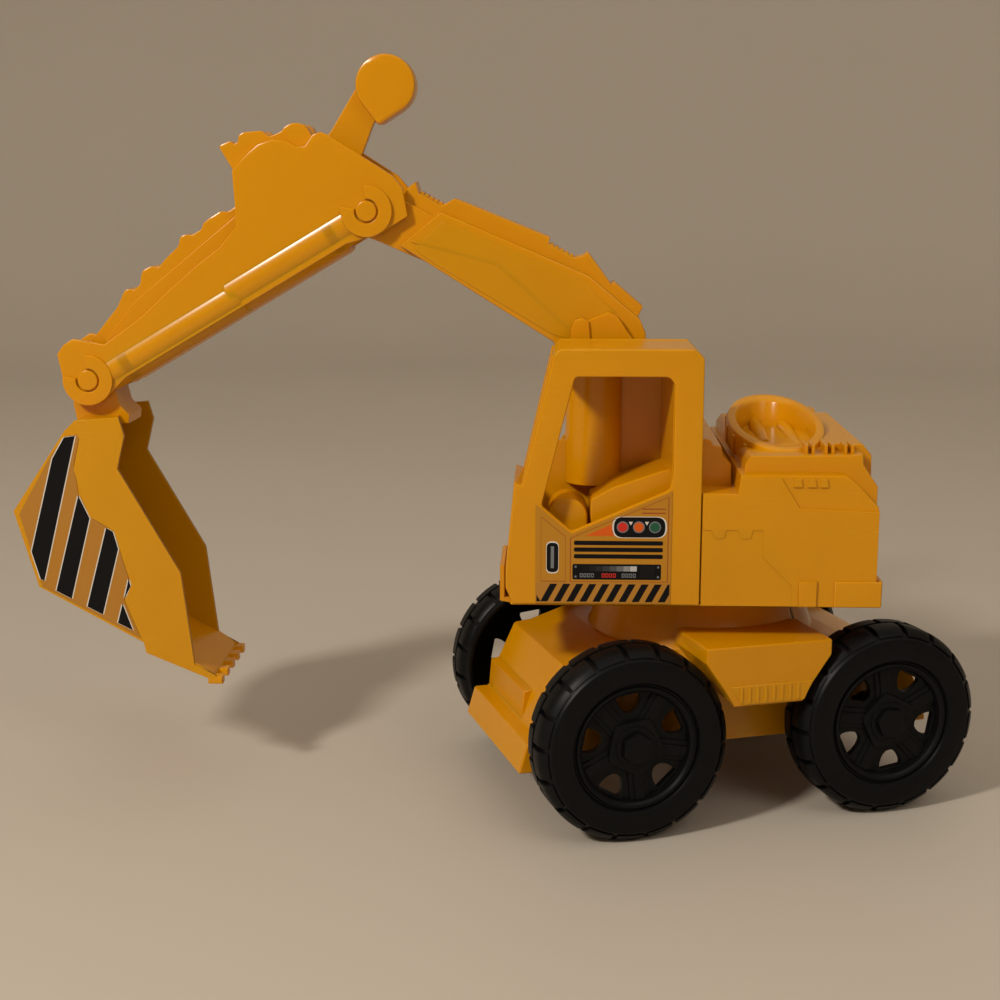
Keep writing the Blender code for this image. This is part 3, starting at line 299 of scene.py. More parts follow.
skin = bpy.data.node_groups.new("moulded_skin", "ShaderNodeTree")
for name, kind, side, value in (
        ("Texture", "NodeSocketFloat", "INPUT", 0.1), ("Waves", "NodeSocketFloat", "INPUT", 0.1),
        ("Scratches", "NodeSocketFloat", "INPUT", 0.3), ("Mottle", "NodeSocketFloat", "OUTPUT", 0),
        ("Dullness", "NodeSocketFloat", "OUTPUT", 0), ("Height", "NodeSocketFloat", "OUTPUT", 0)):
    socket = skin.interface.new_socket(name, in_out=side, socket_type=kind)
    if side == "INPUT":
        socket.default_value = value
skin_in = skin.nodes.new("NodeGroupInput")
skin_out = skin.nodes.new("NodeGroupOutput")
skin_place = skin.nodes.new("ShaderNodeTexCoord").outputs["Object"]
stretch = skin.nodes.new("ShaderNodeMapping")
stretch.inputs["Rotation"].default_value = (0.3, 0.5, 0.7)
stretch.inputs["Scale"].default_value = (30.0, 900.0, 900.0)
link(skin, skin_place, stretch.inputs["Vector"])
grain = noise(skin, skin_place, 2600.0, 2.0)
waves = noise(skin, skin_place, 55.0, 2.0)
patches = noise(skin, skin_place, 18.0, 4.0, 0.6)
hairlines = ramp(skin, noise(skin, stretch.outputs["Vector"], 1.0, 1.0), 0.66, 0.72)
worn = math_node(skin, "MULTIPLY", hairlines, ramp(skin, patches, 0.5, 0.65))
scratch = math_node(skin, "MULTIPLY", worn, skin_in.outputs["Scratches"])
link(skin, patches, skin_out.inputs["Mottle"])
link(skin, math_node(skin, "ADD", math_node(skin, "MULTIPLY", patches, 0.6), scratch),
     skin_out.inputs["Dullness"])
height = math_node(skin, "ADD", math_node(skin, "MULTIPLY", grain, skin_in.outputs["Texture"]),
                   math_node(skin, "MULTIPLY", waves, skin_in.outputs["Waves"]))
link(skin, math_node(skin, "SUBTRACT", height, math_node(skin, "MULTIPLY", scratch, 0.1)),
     skin_out.inputs["Height"])
print("moulded_skin:", len(skin.nodes), "nodes")


# %% Plastics and steel
def mixed(tree, factor, first, second):
    node = tree.nodes.new("ShaderNodeMix")
    node.data_type = "RGBA"
    link(tree, factor, node.inputs["Factor"])
    node.inputs["A"].default_value = (*first, 1)
    node.inputs["B"].default_value = (*second, 1)
    return node.outputs["Result"]


def plastic(name, dark, light, roughness, texture, waves, scratches, glow=0.0, metallic=0.0,
            shine=0.35):
    """A moulded finish: two close colours, mottled, with the shared skin on it."""
    finish = bpy.data.materials.new(name)
    finish.use_nodes = True
    tree = finish.node_tree
    shader = tree.nodes["Principled BSDF"]
    group = tree.nodes.new("ShaderNodeGroup")
    group.node_tree = skin
    group.inputs["Texture"].default_value = texture
    group.inputs["Waves"].default_value = waves
    group.inputs["Scratches"].default_value = scratches
    link(tree, mixed(tree, group.outputs["Mottle"], dark, light), shader.inputs["Base Color"])
    rough = tree.nodes.new("ShaderNodeMapRange")
    rough.inputs["To Min"].default_value = roughness[0]
    rough.inputs["To Max"].default_value = roughness[1]
    link(tree, group.outputs["Dullness"], rough.inputs["Value"])
    link(tree, rough.outputs["Result"], shader.inputs["Roughness"])
    bump = tree.nodes.new("ShaderNodeBump")
    bump.inputs["Strength"].default_value = 0.35
    bump.inputs["Distance"].default_value = 0.4 * MM
    link(tree, group.outputs["Height"], bump.inputs["Height"])
    link(tree, bump.outputs["Normal"], shader.inputs["Normal"])
    shader.inputs["Metallic"].default_value = metallic
    shader.inputs["Specular IOR Level"].default_value = shine
    if glow:
        shader.inputs["Subsurface Weight"].default_value = glow
        shader.inputs["Subsurface Radius"].default_value = (1.0, 0.42, 0.05)
        shader.inputs["Subsurface Scale"].default_value = 2.5 * MM
    return finish


YELLOW = plastic("yellow_plastic", (0.60, 0.250, 0.0), (0.68, 0.295, 0.0), (0.20, 0.34),
                 0.05, 0.5, 0.35, glow=0.3)
BLACK = plastic("black_plastic", (0.0022, 0.0024, 0.0026), (0.0045, 0.0048, 0.005), (0.34, 0.55),
                0.10, 0.5, 0.5, shine=0.13)
STEEL = plastic("bright_steel", (0.52, 0.52, 0.53), (0.62, 0.62, 0.62), (0.2, 0.42), 0.05, 0.1,
                0.6, metallic=1.0)


def ink(name, colour, fleck=0.0, roughness=(0.3, 0.45)):
    """Printing on a sticker, with light flecks where a foil ground shows through."""
    second = tuple(min(1.0, c + fleck) for c in colour)
    return plastic(name, colour, second, roughness, 0.02, 0.15, 0.2, shine=0.15)


GOLD_INK = ink("gold_ink", (0.40, 0.17, 0.012), 0.03)
ORANGE_INK = ink("orange_ink", (0.44, 0.19, 0.008), 0.02)
BLACK_INK = ink("black_ink", (0.003, 0.003, 0.004), 0.002)
WHITE_INK = ink("white_ink", (0.62, 0.58, 0.52), 0.05)
RED_INK = ink("red_ink", (0.55, 0.03, 0.02))
AMBER_INK = ink("amber_ink", (0.62, 0.10, 0.01))
GREEN_INK = ink("green_ink", (0.02, 0.09, 0.05))
GREY_INK = ink("grey_ink", (0.16, 0.17, 0.18))
BROWN_INK = ink("brown_ink", (0.30, 0.06, 0.02))
GREYS = [ink(f"grey_ink_{i}", (0.45 * 0.55 ** i,) * 3) for i in range(8)]

SLOT_FINISH = {"yellow_plastic": YELLOW, "black_plastic": BLACK, "bright_steel": STEEL,
               "door_sticker": ORANGE_INK, "bucket_sticker": GOLD_INK}
slot_of = {part["node"]: part["material_slot"] for part in frame["record"]["subparts"]}
for node in frame["nodes"].values():
    finish = SLOT_FINISH[slot_of[node.name]]
    for slot in node.material_slots:
        slot.material = finish
print("materials:", len(bpy.data.materials))

# %% [markdown]
# ## Repeats round a circle or along a line
# Tread lugs, louvres, ribs and teeth are one shape repeated by a rule. A Geometry Nodes tree holds
# the rule: how many, how far apart, and how far each is turned about the axle. Realize Instances
# turns the copies into real mesh, so that the piece keeps its shape when it leaves Blender.

# %% The repeating tree
repeat = bpy.data.node_groups.new("repeat_along", "GeometryNodeTree")
repeat.is_modifier = True
sockets = {}
for name, kind, value in (
        ("Geometry", "NodeSocketGeometry", None), ("Shape", "NodeSocketObject", None),
        ("Count", "NodeSocketInt", 5), ("Step", "NodeSocketVector", (0, 0, 0)),
        ("Turn", "NodeSocketFloat", 0.0), ("Finish", "NodeSocketMaterial", None)):
    socket = repeat.interface.new_socket(name, in_out="INPUT", socket_type=kind)
    if value is not None:
        socket.default_value = value
    sockets[name] = socket.identifier
repeat.interface.new_socket("Geometry", in_out="OUTPUT", socket_type="NodeSocketGeometry")
rule_in = repeat.nodes.new("NodeGroupInput")
rule_out = repeat.nodes.new("NodeGroupOutput")
row = repeat.nodes.new("GeometryNodeMeshLine")
row.mode = "OFFSET"
index = repeat.nodes.new("GeometryNodeInputIndex")
angle = repeat.nodes.new("ShaderNodeMath")
angle.operation = "MULTIPLY"
turn = repeat.nodes.new("ShaderNodeCombineXYZ")
shape = repeat.nodes.new("GeometryNodeObjectInfo")
copies = repeat.nodes.new("GeometryNodeInstanceOnPoints")
realize = repeat.nodes.new("GeometryNodeRealizeInstances")
paint = repeat.nodes.new("GeometryNodeSetMaterial")
for source, target in (
        (rule_in.outputs["Count"], row.inputs["Count"]),
        (rule_in.outputs["Step"], row.inputs["Offset"]),
        (index.outputs["Index"], angle.inputs[0]),
        (rule_in.outputs["Turn"], angle.inputs[1]),
        (angle.outputs[0], turn.inputs["Y"]),
        (rule_in.outputs["Shape"], shape.inputs["Object"]),
        (row.outputs["Mesh"], copies.inputs["Points"]),
        (shape.outputs["Geometry"], copies.inputs["Instance"]),
        (turn.outputs["Vector"], copies.inputs["Rotation"]),
        (copies.outputs["Instances"], realize.inputs["Geometry"]),
        (realize.outputs["Geometry"], paint.inputs["Geometry"]),
        (rule_in.outputs["Finish"], paint.inputs["Material"]),
        (paint.outputs["Geometry"], rule_out.inputs["Geometry"])):
    link(repeat, source, target)


def repeated(mesh, count, step=(0, 0, 0), turn_each=0.0, finish=None):
    """One mesh with count copies of a shape, each a step (mm) and a turn (degrees) further on."""
    source = bpy.data.objects.new("source", mesh)
    carrier = bpy.data.objects.new("carrier", bpy.data.meshes.new("carrier"))
    for item in (source, carrier):
        bpy.context.scene.collection.objects.link(item)
    rule = carrier.modifiers.new("repeat", "NODES")
    rule.node_group = repeat
    rule[sockets["Shape"]] = source
    rule[sockets["Count"]] = count
    rule[sockets["Step"]] = [part * MM for part in step]
    rule[sockets["Turn"]] = math.radians(turn_each)
    rule[sockets["Finish"]] = finish or YELLOW
    graph = bpy.context.evaluated_depsgraph_get()
    made = bpy.data.meshes.new_from_object(carrier.evaluated_get(graph))
    for item in (source, carrier):
        bpy.data.objects.remove(item)
    return made


# %% [markdown]
# ## Wheels
# Each wheel is one black moulding: a tyre with chunky shoulder lugs, a groove, a rim, five wide
# spokes with rounded windows between them, and a pentagon plate under a hexagon cap. The tyre is a
# turned profile, the lugs come from the repeating tree, and the spoke plate is a slab with holes.

# %% Wheel shapes
WINDOWS = 5
WINDOW_PITCH = 360 / WINDOWS
LUGS = 18
LUG_PITCH = 360 / LUGS
WHEEL_WIDTH = 26.0
wheel_z = pivot("front_axle_spin").z / MM
tyre = turned([(24.6, -9.5), (24.6, -4.4), (25.2, -2.2), (26.2, -1.3), (27.3, -1.3), (27.9, -2.6),
               (28.5, -2.6), (29.4, -0.9), (31, -0.2), (35.5, 0), (39, -0.8), (41, -2.8), (41.8, -6),
               (41.8, -21), (41, -24.5), (40, -26), (38.6, -26), (38.6, -9.5)], steps=72)


def lug(profile, half_angle, steps=5):
    """A tread lug: a profile (radius, y) swept a short way round the axle."""
    build = bmesh.new()
    rows = []
    for i in range(steps + 1):
        angle = math.radians(-half_angle + 2 * half_angle * i / steps)
        rows.append([build.verts.new((r * math.sin(angle) * MM, y * MM, r * math.cos(angle) * MM))
                     for r, y in profile])
    for row, following in zip(rows, rows[1:]):
        for j in range(len(profile)):
            k = (j + 1) % len(profile)
            build.faces.new((row[j], row[k], following[k], following[j]))
    build.faces.new(rows[0])
    build.faces.new(rows[-1][::-1])
    bmesh.ops.recalc_face_normals(build, faces=build.faces)
    ends = [edge for edge in build.edges if edge.calc_face_angle(0) > math.radians(50)]
    bmesh.ops.bevel(build, geom=ends, offset=0.35 * MM, segments=2, affect="EDGES", clamp_overlap=True)
    mesh = bpy.data.meshes.new("lug")
    build.to_mesh(mesh)
    build.free()
    return mesh


outer_lug = lug([(40.2, -1.4), (41.6, -2.6), (43.2, -4.4), (44, -7), (44, -12.4), (40.5, -12.4)],
                LUG_PITCH / 2 - 1.3)
inner_lug = outer_lug.copy()
inner_lug.transform(Matrix.Rotation(math.radians(LUG_PITCH / 2), 4, "Y")
                    @ Matrix.Translation((0, -WHEEL_WIDTH * MM, 0)) @ Matrix.Scale(-1, 4, (0, 1, 0)))
inner_lug.flip_normals()
tread = [repeated(shape, LUGS, turn_each=LUG_PITCH, finish=BLACK) for shape in (outer_lug, inner_lug)]


def window(middle):
    """A U-shaped opening between two spokes, widest at the rim."""
    side = [(23.7, 12.6), (22.6, 14.2), (20.5, 14.4), (18.2, 13.2), (16.4, 10.4), (15.2, 6.0)]
    return ([polar(r, middle - a) for r, a in side] + [polar(14.9, middle)]
            + [polar(r, middle + a) for r, a in side[::-1]])


spoke_plate = slab(arc(0, 0, 25.4, 0, 354, 59), -9.0, -5.2, 0.7,
                   holes=[window(WINDOW_PITCH * i) for i in range(WINDOWS)])
rib = block((11, 24.9), (-5.8, -4.3), (-4.6, 4.6), 0.6)
fine_rib = block((11, 24.7), (-4.7, -3.5), (-2.4, 2.4), 0.5)
for shape in (rib, fine_rib):
    shape.transform(Matrix.Rotation(math.radians(-WINDOW_PITCH / 2), 4, "Y"))
ribs = [repeated(shape, WINDOWS, turn_each=WINDOW_PITCH, finish=BLACK) for shape in (rib, fine_rib)]
plate = slab(eased([polar(14.2, WINDOW_PITCH * (i + 0.5)) for i in range(WINDOWS)], 2.2), -6, -2.6, 0.7)
boss = disc(0, 0, -4, -1.9, 9.4, 0.7)
cap = slab(eased([polar(7.5, 60 * i + 10) for i in range(6)], 1.2), -2.5, 0.7, 1.0)
hub = disc(0, 0, -26, -8, 8, 0.5)

# %% Four wheels
OUTER_FACE = 79.6                          # of the wheels, from the middle plane
WHEEL_TURN = {"front": 83, "rear": 118}    # how far the wheels have rolled, in degrees
wheel_shapes = (tyre, *tread, spoke_plate, *ribs, plate, boss, cap, hub)
for end, side_of in (("front", 1), ("rear", -1)):
    axle_x = (pivot("front_axle_spin") - pivot("rear_axle_spin")).length / 2 * side_of
    turn_it = Matrix.Rotation(math.radians(-WHEEL_TURN[end]), 4, "Y")
    for side, hand in (("left", 1), ("right", -1)):
        shells = [(shape.copy(), BLACK) for shape in wheel_shapes]
        for shape, _ in shells:
            shape.transform(Matrix.Translation((0, OUTER_FACE * MM, 0)) @ turn_it)
        if hand < 0:
            shells = [(flipped(shape), BLACK) for shape, _ in shells]
        place_at = CHASSIS @ Matrix.Translation((axle_x, 0, wheel_z * MM))
        piece(f"wheel_{end}_{side}", f"{end}_wheels", place_at, shells,
              replaced=(f"{end}_{side}_wheel", f"{end}_{side}_hub_cap"), smooth=32)

# %% [markdown]
# ## Chassis
# The chassis is one hollow moulding with steps between the wheels, a cone under the house and a
# stepped bumper. Its shape is right in the engineering model, so a copy of that mesh is used: its
# loose triangles are merged, flat regions joined, and only the long clean edges are rounded.

# %% Copies with soft edges
def softened(node, width, into, shortest=2.5, sharp=28):
    build = bmesh.new()
    build.from_mesh(frame["nodes"][node].data)
    bmesh.ops.remove_doubles(build, verts=build.verts, dist=2e-6)
    bmesh.ops.dissolve_limit(build, angle_limit=math.radians(1.5), verts=build.verts, edges=build.edges)
    edges = [edge for edge in build.edges if edge.is_manifold and edge.calc_length() > shortest * MM
             and edge.calc_face_angle(0) > math.radians(sharp)]
    bmesh.ops.bevel(build, geom=edges, offset=width * MM, segments=2, affect="EDGES", clamp_overlap=False)
    bmesh.ops.transform(build, matrix=into.inverted(), verts=build.verts)
    mesh = bpy.data.meshes.new(node)
    build.to_mesh(mesh)
    build.free()
    return mesh


chassis_shells = [softened("chassis_shell", 0.5, CHASSIS)]
chassis_shells.append(slab([(80, 38), (93.8, 38.4), (92.6, 51.6), (86, 53)], -44.6, 12, 0.6))
step_band = [(13, 59.4), (18.2, 68), (-21, 68), (-17, 59.4)]
chassis_shells += both_sides(slab(step_band, 78.4, 79.5, 0.3))
step_rib = block((-14.6, -13.4), (78.6, 79.9), (60.4, 67.2), 0.25)
ribs_along = repeated(step_rib, 8, step=(3.9, 0, 0))
chassis_shells += both_sides(ribs_along)
piece("chassis_moulding", "chassis", CHASSIS, chassis_shells,
      replaced=("chassis_shell",))

# %% [markdown]
# ## House
# The house is a tray with small tabs, a boxy engine bay with a raised hood panel, a relief of an
# engine on its roof, an open cab and a low locker. Slabs at different depths make the steps.

# %% Tray, bay and engine relief
HALF = 72.0           # half of the house's width
COVER = HALF + 0.6    # outer face of the raised panels
BASE = 102.4          # just above the tray's underside
FLOOR = 105.3         # top of the tray, with a gap
tray_shells = [softened("house_tray", 0.4, HOUSE)]
piece("turret_tray", "house", HOUSE, tray_shells, replaced=("house_tray",))

bay_side = [(-70, FLOOR), (6.7, FLOOR), (6.7, 152.4), (-8.8, 152.4), (-9.8, 160.5), (-55, 160.5),
            (-60.5, 156.5), (-69.5, 147), (-70, 144)]
bay_shells = [slab(bay_side, -HALF + 0.4, HALF - 0.4, 0.7)]
seam = [(6.4, 136.3), (2.4, 136.3), (1.1, 132.6), (-3.0, 132.6), (-4.1, 136.3), (-9.1, 136.3),
        (-10.5, 132.6), (-14.6, 132.6), (-15.6, 136.3), (-20, 136.3), (-20, 124.4), (-33, 111.7),
        (-33, BASE)]
panel = seam + [(-69.7, BASE), (-69.8, 145), (-35.4, 146.3), (-27, 159.8), (-9.6, 159.8), (-8.6, 151.8),
                (6.4, 151.8)]
inset = [(6.4, BASE), (6.4, 136.8), (-20.5, 136.8), (-33.5, 112), (-33.5, BASE)]
bay_shells += both_sides(slab(panel, HALF - 1.2, COVER, 0.3), slab(inset, HALF - 1.4, HALF + 0.2, 0.1))
notch = slab(eased([(0, 0), (4.2, 0), (3.4, 4), (0.8, 4)], 0.5), HALF - 2.0, HALF + 0.3, 0.3)
for x in (-36.6, -42.6, -47.8):
    moved = notch.copy()
    moved.transform(Matrix.Translation((x * MM, 0, 155.4 * MM)))
    bay_shells += both_sides(moved)
tier = [(-69.8, 140), (-11.5, 140), (-12, 164.5), (-14.5, 168), (-58, 168.6), (-62.8, 169), (-63.2, 164.5),
        (-69.8, 154.8)]
bay_shells.append(slab(tier, -66, 66, 0.6))
slat = block((-70.6, -69.4), (-44, 44), (120, 122.6), 0.4)
bay_shells.append(repeated(slat, 5, step=(0, 0, 5.2)))
piece("engine_bay", "house", HOUSE, bay_shells, replaced=("house_shell",))

# %% Engine relief
stepped_box = [(6.7, 150), (6.7, 173.6), (1.8, 172.8), (0.6, 170.4), (-3, 169.8), (-3.7, 165.6),
               (-7.4, 162), (-8, 150)]
rear_block = [(-48, 160), (-48, 171.4), (-65.5, 171), (-69.6, 166), (-69.8, 156)]
relief = [slab(stepped_box, -52, 52, 0.5), slab(rear_block, -50, 50, 0.6)]
for x in (-40.5, -49, -57.5):
    for offset in (-1.5, 1.5):
        relief += both_sides(block((x + offset - 0.7, x + offset + 0.7), (50, 62), (168, 172.4), 0.3))
rim_profile = [(20, -6), (23.4, 0), (24.2, 3), (24.2, 10.5), (23.4, 12.2), (21.8, 12.8),
               (19.8, 12.4), (18.6, 10.6), (17, 2), (8, 0), (8, -6)]
ring_rib = block((23.0, 24.7), (1.5, 10.5), (-1.2, 1.2), 0.5)
RING_RIBS = 18
bowl = [turned(rim_profile), repeated(ring_rib, RING_RIBS, turn_each=360 / RING_RIBS)]
bowl.append(disc(0, 0, -6, 1.5, 9, 0.6))
set_down = (Matrix.Translation((-32 * MM, 8 * MM, 163.2 * MM)) @ Matrix.Rotation(math.radians(-8.5), 4, "X")
            @ Matrix.Diagonal((0.92, 1.95, 1.0, 1.0)) @ Matrix.Rotation(math.radians(90), 4, "X"))
for shape in bowl:
    shape.transform(set_down)
    relief.append(cleaned(shape))
relief.append(bar((-40, -22, 168), (-40, 30, 165), 3.6))
relief.append(bar((-26, -30, 170), (-26, 24, 166), 3.0))
piece("engine_relief", "house", HOUSE, relief, replaced=("engine_block",))

# %% Cab and locker
cab_side = eased([(7, BASE), (88.6, BASE), (92, 109.6), (92, 119), (88.4, 156.8), (84.6, 155.4),
                  (71.4, 212.4), (68.5, 215), (11, 215), (7, 211)], 1.0)
window_hole = eased([(62.2, 203), (22, 203), (19.5, 200), (19.5, 160), (21, 154), (63.1, 135.4),
                     (76.4, 146.6)], 1.6)
INNER = 26.0          # far face of the cab, measured from the middle plane
cab_shells = [slab(cab_side, HALF - 2.4, COVER, 0.8, holes=[window_hole])]
far_side = [(7, FLOOR), (89.4, FLOOR), (92, 110), (92, 119), (88.4, 156.8), (84.6, 155.4),
            (81.5, 168.8), (65.8, 168.8), (62.9, 191.6), (61.5, 205), (73, 206), (71.4, 212.4),
            (68.5, 215), (11, 215), (7, 211)]
cab_shells.append(slab(far_side, INNER, INNER + 2.4, 0.7))
back_wall = rectangle(INNER, HALF, FLOOR, 210.6)
cab_shells.append(slab(back_wall, 7, 9.4, 0.5, view="front"))
rear_pillar = [(7.6, INNER + 0.6), (22.6, INNER + 0.6), (19.8, HALF - 1.6), (7.6, HALF - 1.6)]
cab_shells.append(slab(rear_pillar, 106, 212, 0.4, view="top"))
column = [(40.4, INNER), (66, INNER)] + arc(53.2, INNER + 1.5, 12.8, 0, 180, 20)
cab_shells.append(slab(column, 149.5, 212.6, 0.5, view="top"))
roof = [(7.2, 210.6), (10.8, 214.6), (68.5, 214.6), (71.4, 212.2), (70.6, 209.6)]
brow = [(70.6, 204), (73.2, 204), (71.2, 213), (68.6, 213)]
apron = [(86.2, 105.6), (89.4, 105.6), (92, 110), (92, 119), (88.4, 157), (84.6, 155.6),
         (84.9, 152), (86.4, 152.6), (89.6, 119), (89.6, 110.6)]
cab_shells.append(slab(roof, INNER + 0.5, HALF, 0.4))
cab_shells.append(slab(brow, INNER + 0.6, HALF - 0.6, 0.4))
cab_shells.append(slab(apron, INNER + 0.6, HALF - 0.6, 0.3))
for y in (INNER + 0.6, HALF - 6.0):
    cab_shells.append(slab([(82.6, 155), (85.4, 155), (72.4, 212), (69.6, 212)], y, y + 5.4, 0.5))
piece("cab_body", "house", HOUSE, cab_shells, replaced=("cab_shell",))

seat = eased([(12.4, 105.4), (50, 105.4), (55, 140), (55, 147.5), (44.6, 153.4), (23.2, 160.8),
              (12.4, 163)], 1.5)
piece("driver_seat", "house", HOUSE, [slab(seat, 31, 62, 1.2)],
      replaced=("cab_seat",))
console = [slab([(56, 122), (74, 122)] + arc(65, 139, 9, 0, 180, 16), 37.4, 60.6, 1.6),
           block((59, 71), (41, 57), (105.4, 124), 0.5)]
piece("control_console", "house", HOUSE, console, replaced=("cab_console",))
locker = [slab([(7.4, 105.4), (88, 105.4), (88, 124), (80, 140), (7.4, 146)], -HALF, -23.6, 1.0),
          slab([(14, 110), (82, 110), (82, 123), (76, 135), (14, 140)], -HALF - 0.5, -HALF + 1, 0.4)]
piece("right_side_locker", "house", HOUSE, locker, replaced=("right_locker",))

# %% [markdown]
# ## Arm
# Boom and stick are each two half shells screwed together, with shallow mechanical relief on top:
# humps, coils and blocks between the cheeks. The cheeks are slabs and the round housings bars.

# %% Boom and its cheeks
cheek = [(11, 105.4), (80, 105.4), (76, 150), (65, 166), (63.6, 199), (63.6, 219.9),
         (61.9, 222.9), (58.9, 224.2), (55.8, 222.8), (52.8, 224.2), (46.7, 226.6), (43, 225),
         (40.5, 221.8), (38.7, 218.7), (31.8, 209.6), (24, 203), (17, 160)]
foot_block = [(63.6, 206), (63.6, 219.9), (61.9, 222.9), (58.9, 224.2), (55.6, 222.4), (54, 206)]
cheeks = both_sides(slab(cheek, 17.2, 21.0, 0.6), slab(foot_block, 17.4, 22.4, 0.6))
piece("boom_cheeks", "house", HOUSE, cheeks,
      replaced=("boom_bracket_left", "boom_bracket_right"))
piece("foot_pin", "house", HOUSE,
      [bar((FOOT_X, -20.6, FOOT_Z), (FOOT_X, 20.6, FOOT_Z), 4.9)], replaced=("boom_foot_pin",))

SEAM = 0.2            # inner face of each half shell, from the middle plane
ARM_FACE = 16.5       # outer face of the boom
end = boom_length - 20.7
boom_side = [(20, -11.4)] + arc(0, 0, 20, 300, 140, 16)
boom_side += [(-10, 17), (20, 23), (end - 9.2, 16), (end, -6.6)]
spine = [(-16, 8), (-9.4, 17), (-9, 22.3), (7.9, 25.8), (9, 24.3), (22.6, 30.7), (25.3, 31.8),
         (27, 29), (30, 26.6), (43, 26.6), (44, 29.4), (86, 24.6), (91, 23.8), (93.4, 20),
         (95, 18), (106.5, 18.4), (110.2, 22), (112, 18), (112, 8), (20, 2)]
neck = [(boom_length - 48, -6.5), (boom_length - 10, -10)] + arc(boom_length, 0, 12.3, -80, 95, 16)
neck.append((boom_length - 48, 12.5))
raised = [(22, -8.5), (88, -6), (96, -4.5), (90, 13), (22, 19.5), (2, 14.5), (0, -4)]
groove = [(16.6, -1.9), (59.4, 8.4), (98.9, -1.4), (98.5, -2.6), (59.4, 7.0), (17, -3.2)]
COILS = ((31, 2.6, 26.2, 1.2, 8.8, 1.25), (95.6, 2.4, 18.4, 1.0, 7.4, 1.15))
BOOM_SCREWS = ((34, 6), (boom_length - 36, 5))
STICK_SCREWS = ((44, 0), (82, -1), (114, -1))
for side, hand in (("left", 1), ("right", -1)):
    recesses = [] if hand > 0 else [circle(x, z, 3.1) for x, z in BOOM_SCREWS]
    shells = [slab(boom_side, SEAM, ARM_FACE, 1.2, holes=recesses), slab(spine, SEAM, 9.6, 0.8),
              slab(neck, SEAM, 11.8, 0.8), slab(raised, ARM_FACE - 1, 16.9, 0.5, holes=recesses),
              slab(groove, 16.2, 17.0, 0.25)]
    for first, gap, rise, low, high, radius in COILS:
        for x in (first + gap * i for i in range(5)):
            shells.append(bar((x, low, rise), (x, high, rise), radius, 10))
    if hand < 0:
        shells = [flipped(shape) for shape in shells]
    piece(f"boom_casing_{side}", "boom", BOOM, shells,
          replaced=(f"boom_{side}_half",))

# %% Stick, lever and pins
BIG, SMALL = 11.7, 10.0    # radii of the round housing, thick and thin part
TUBE_FACE = 17.5           # its outermost line, from the middle plane
EYE = 11.8                 # radius of the rings round the pins
tip = stick_length
side_plate = [(43.5, 46.8), (33.5, 49.5), (27, 50.5), (20, 49), (15, 44.9), (12.5, 40.7),
              (9, 38.9), (3.3, 41.5), (-0.4, 40.8), (-2.6, 37.9), (-10.1, 23.7), (-18.3, 7.8),
              (-19.6, 0.7), (-15, -11.6), (0, -12.0), (16, -8), (tip - 16, -8)]
side_plate += arc(tip, 0, EYE, 250, 375, 14)
side_plate += [(159.2, 17.6), (154.4, 19.7), (149.1, 19.9), (143, 14.7), (137.6, 10.2), (126.7, 11),
               (113.8, 12.5), (99.8, 15.5), (80.7, 18.9), (66.4, 20.6), (55.4, 24.7), (50.8, 32.7)]
web = [(15.5, -6), (tip - 15.5, -6), (tip - 15.5, 12), (115.9, 20), (51, 29.6), (15.5, 29.6)]
ribs_line = [(51, 22), (51, 33), (56, 32.6), (59.2, 34.7), (65, 34.6), (68.8, 34.2), (71, 32.2),
             (76.6, 32.2), (78.6, 34), (81.5, 34.4), (84.4, 31.2), (93.4, 29.2), (97.8, 27.6),
             (100.6, 30), (105, 30.3),
             (107.3, 28.3), (109.4, 25.5), (113.5, 24.6), (115.4, 26.6), (117.6, 26.7), (120, 25.1),
             (124.6, 22), (132.5, 19.2), (139.4, 16.6), (143, 16.2), (143, 9)]
mechanism = [(43.4, 40), (43.5, 58.4), (42.6, 59.5), (37.3, 58.6), (36.8, 56.3), (34.5, 56.6), (33, 58.8),
             (30.4, 58.9), (22.8, 55.2), (20.9, 51)]
mechanism += arc(11.5, 43.5, 7.8, 60, 160, 8) + [(4, 36), (20, 34), (34, 38)]


def open_ring(x, inner, outer, low, high, gap_middle, gap):
    """A raised C: a ring left open on one side."""
    start, stop = gap_middle + gap / 2, gap_middle + 360 - gap / 2
    return slab(arc(x, 0, outer, start, stop, 30) + arc(x, 0, inner, stop, start, 24), low, high, 0.45)


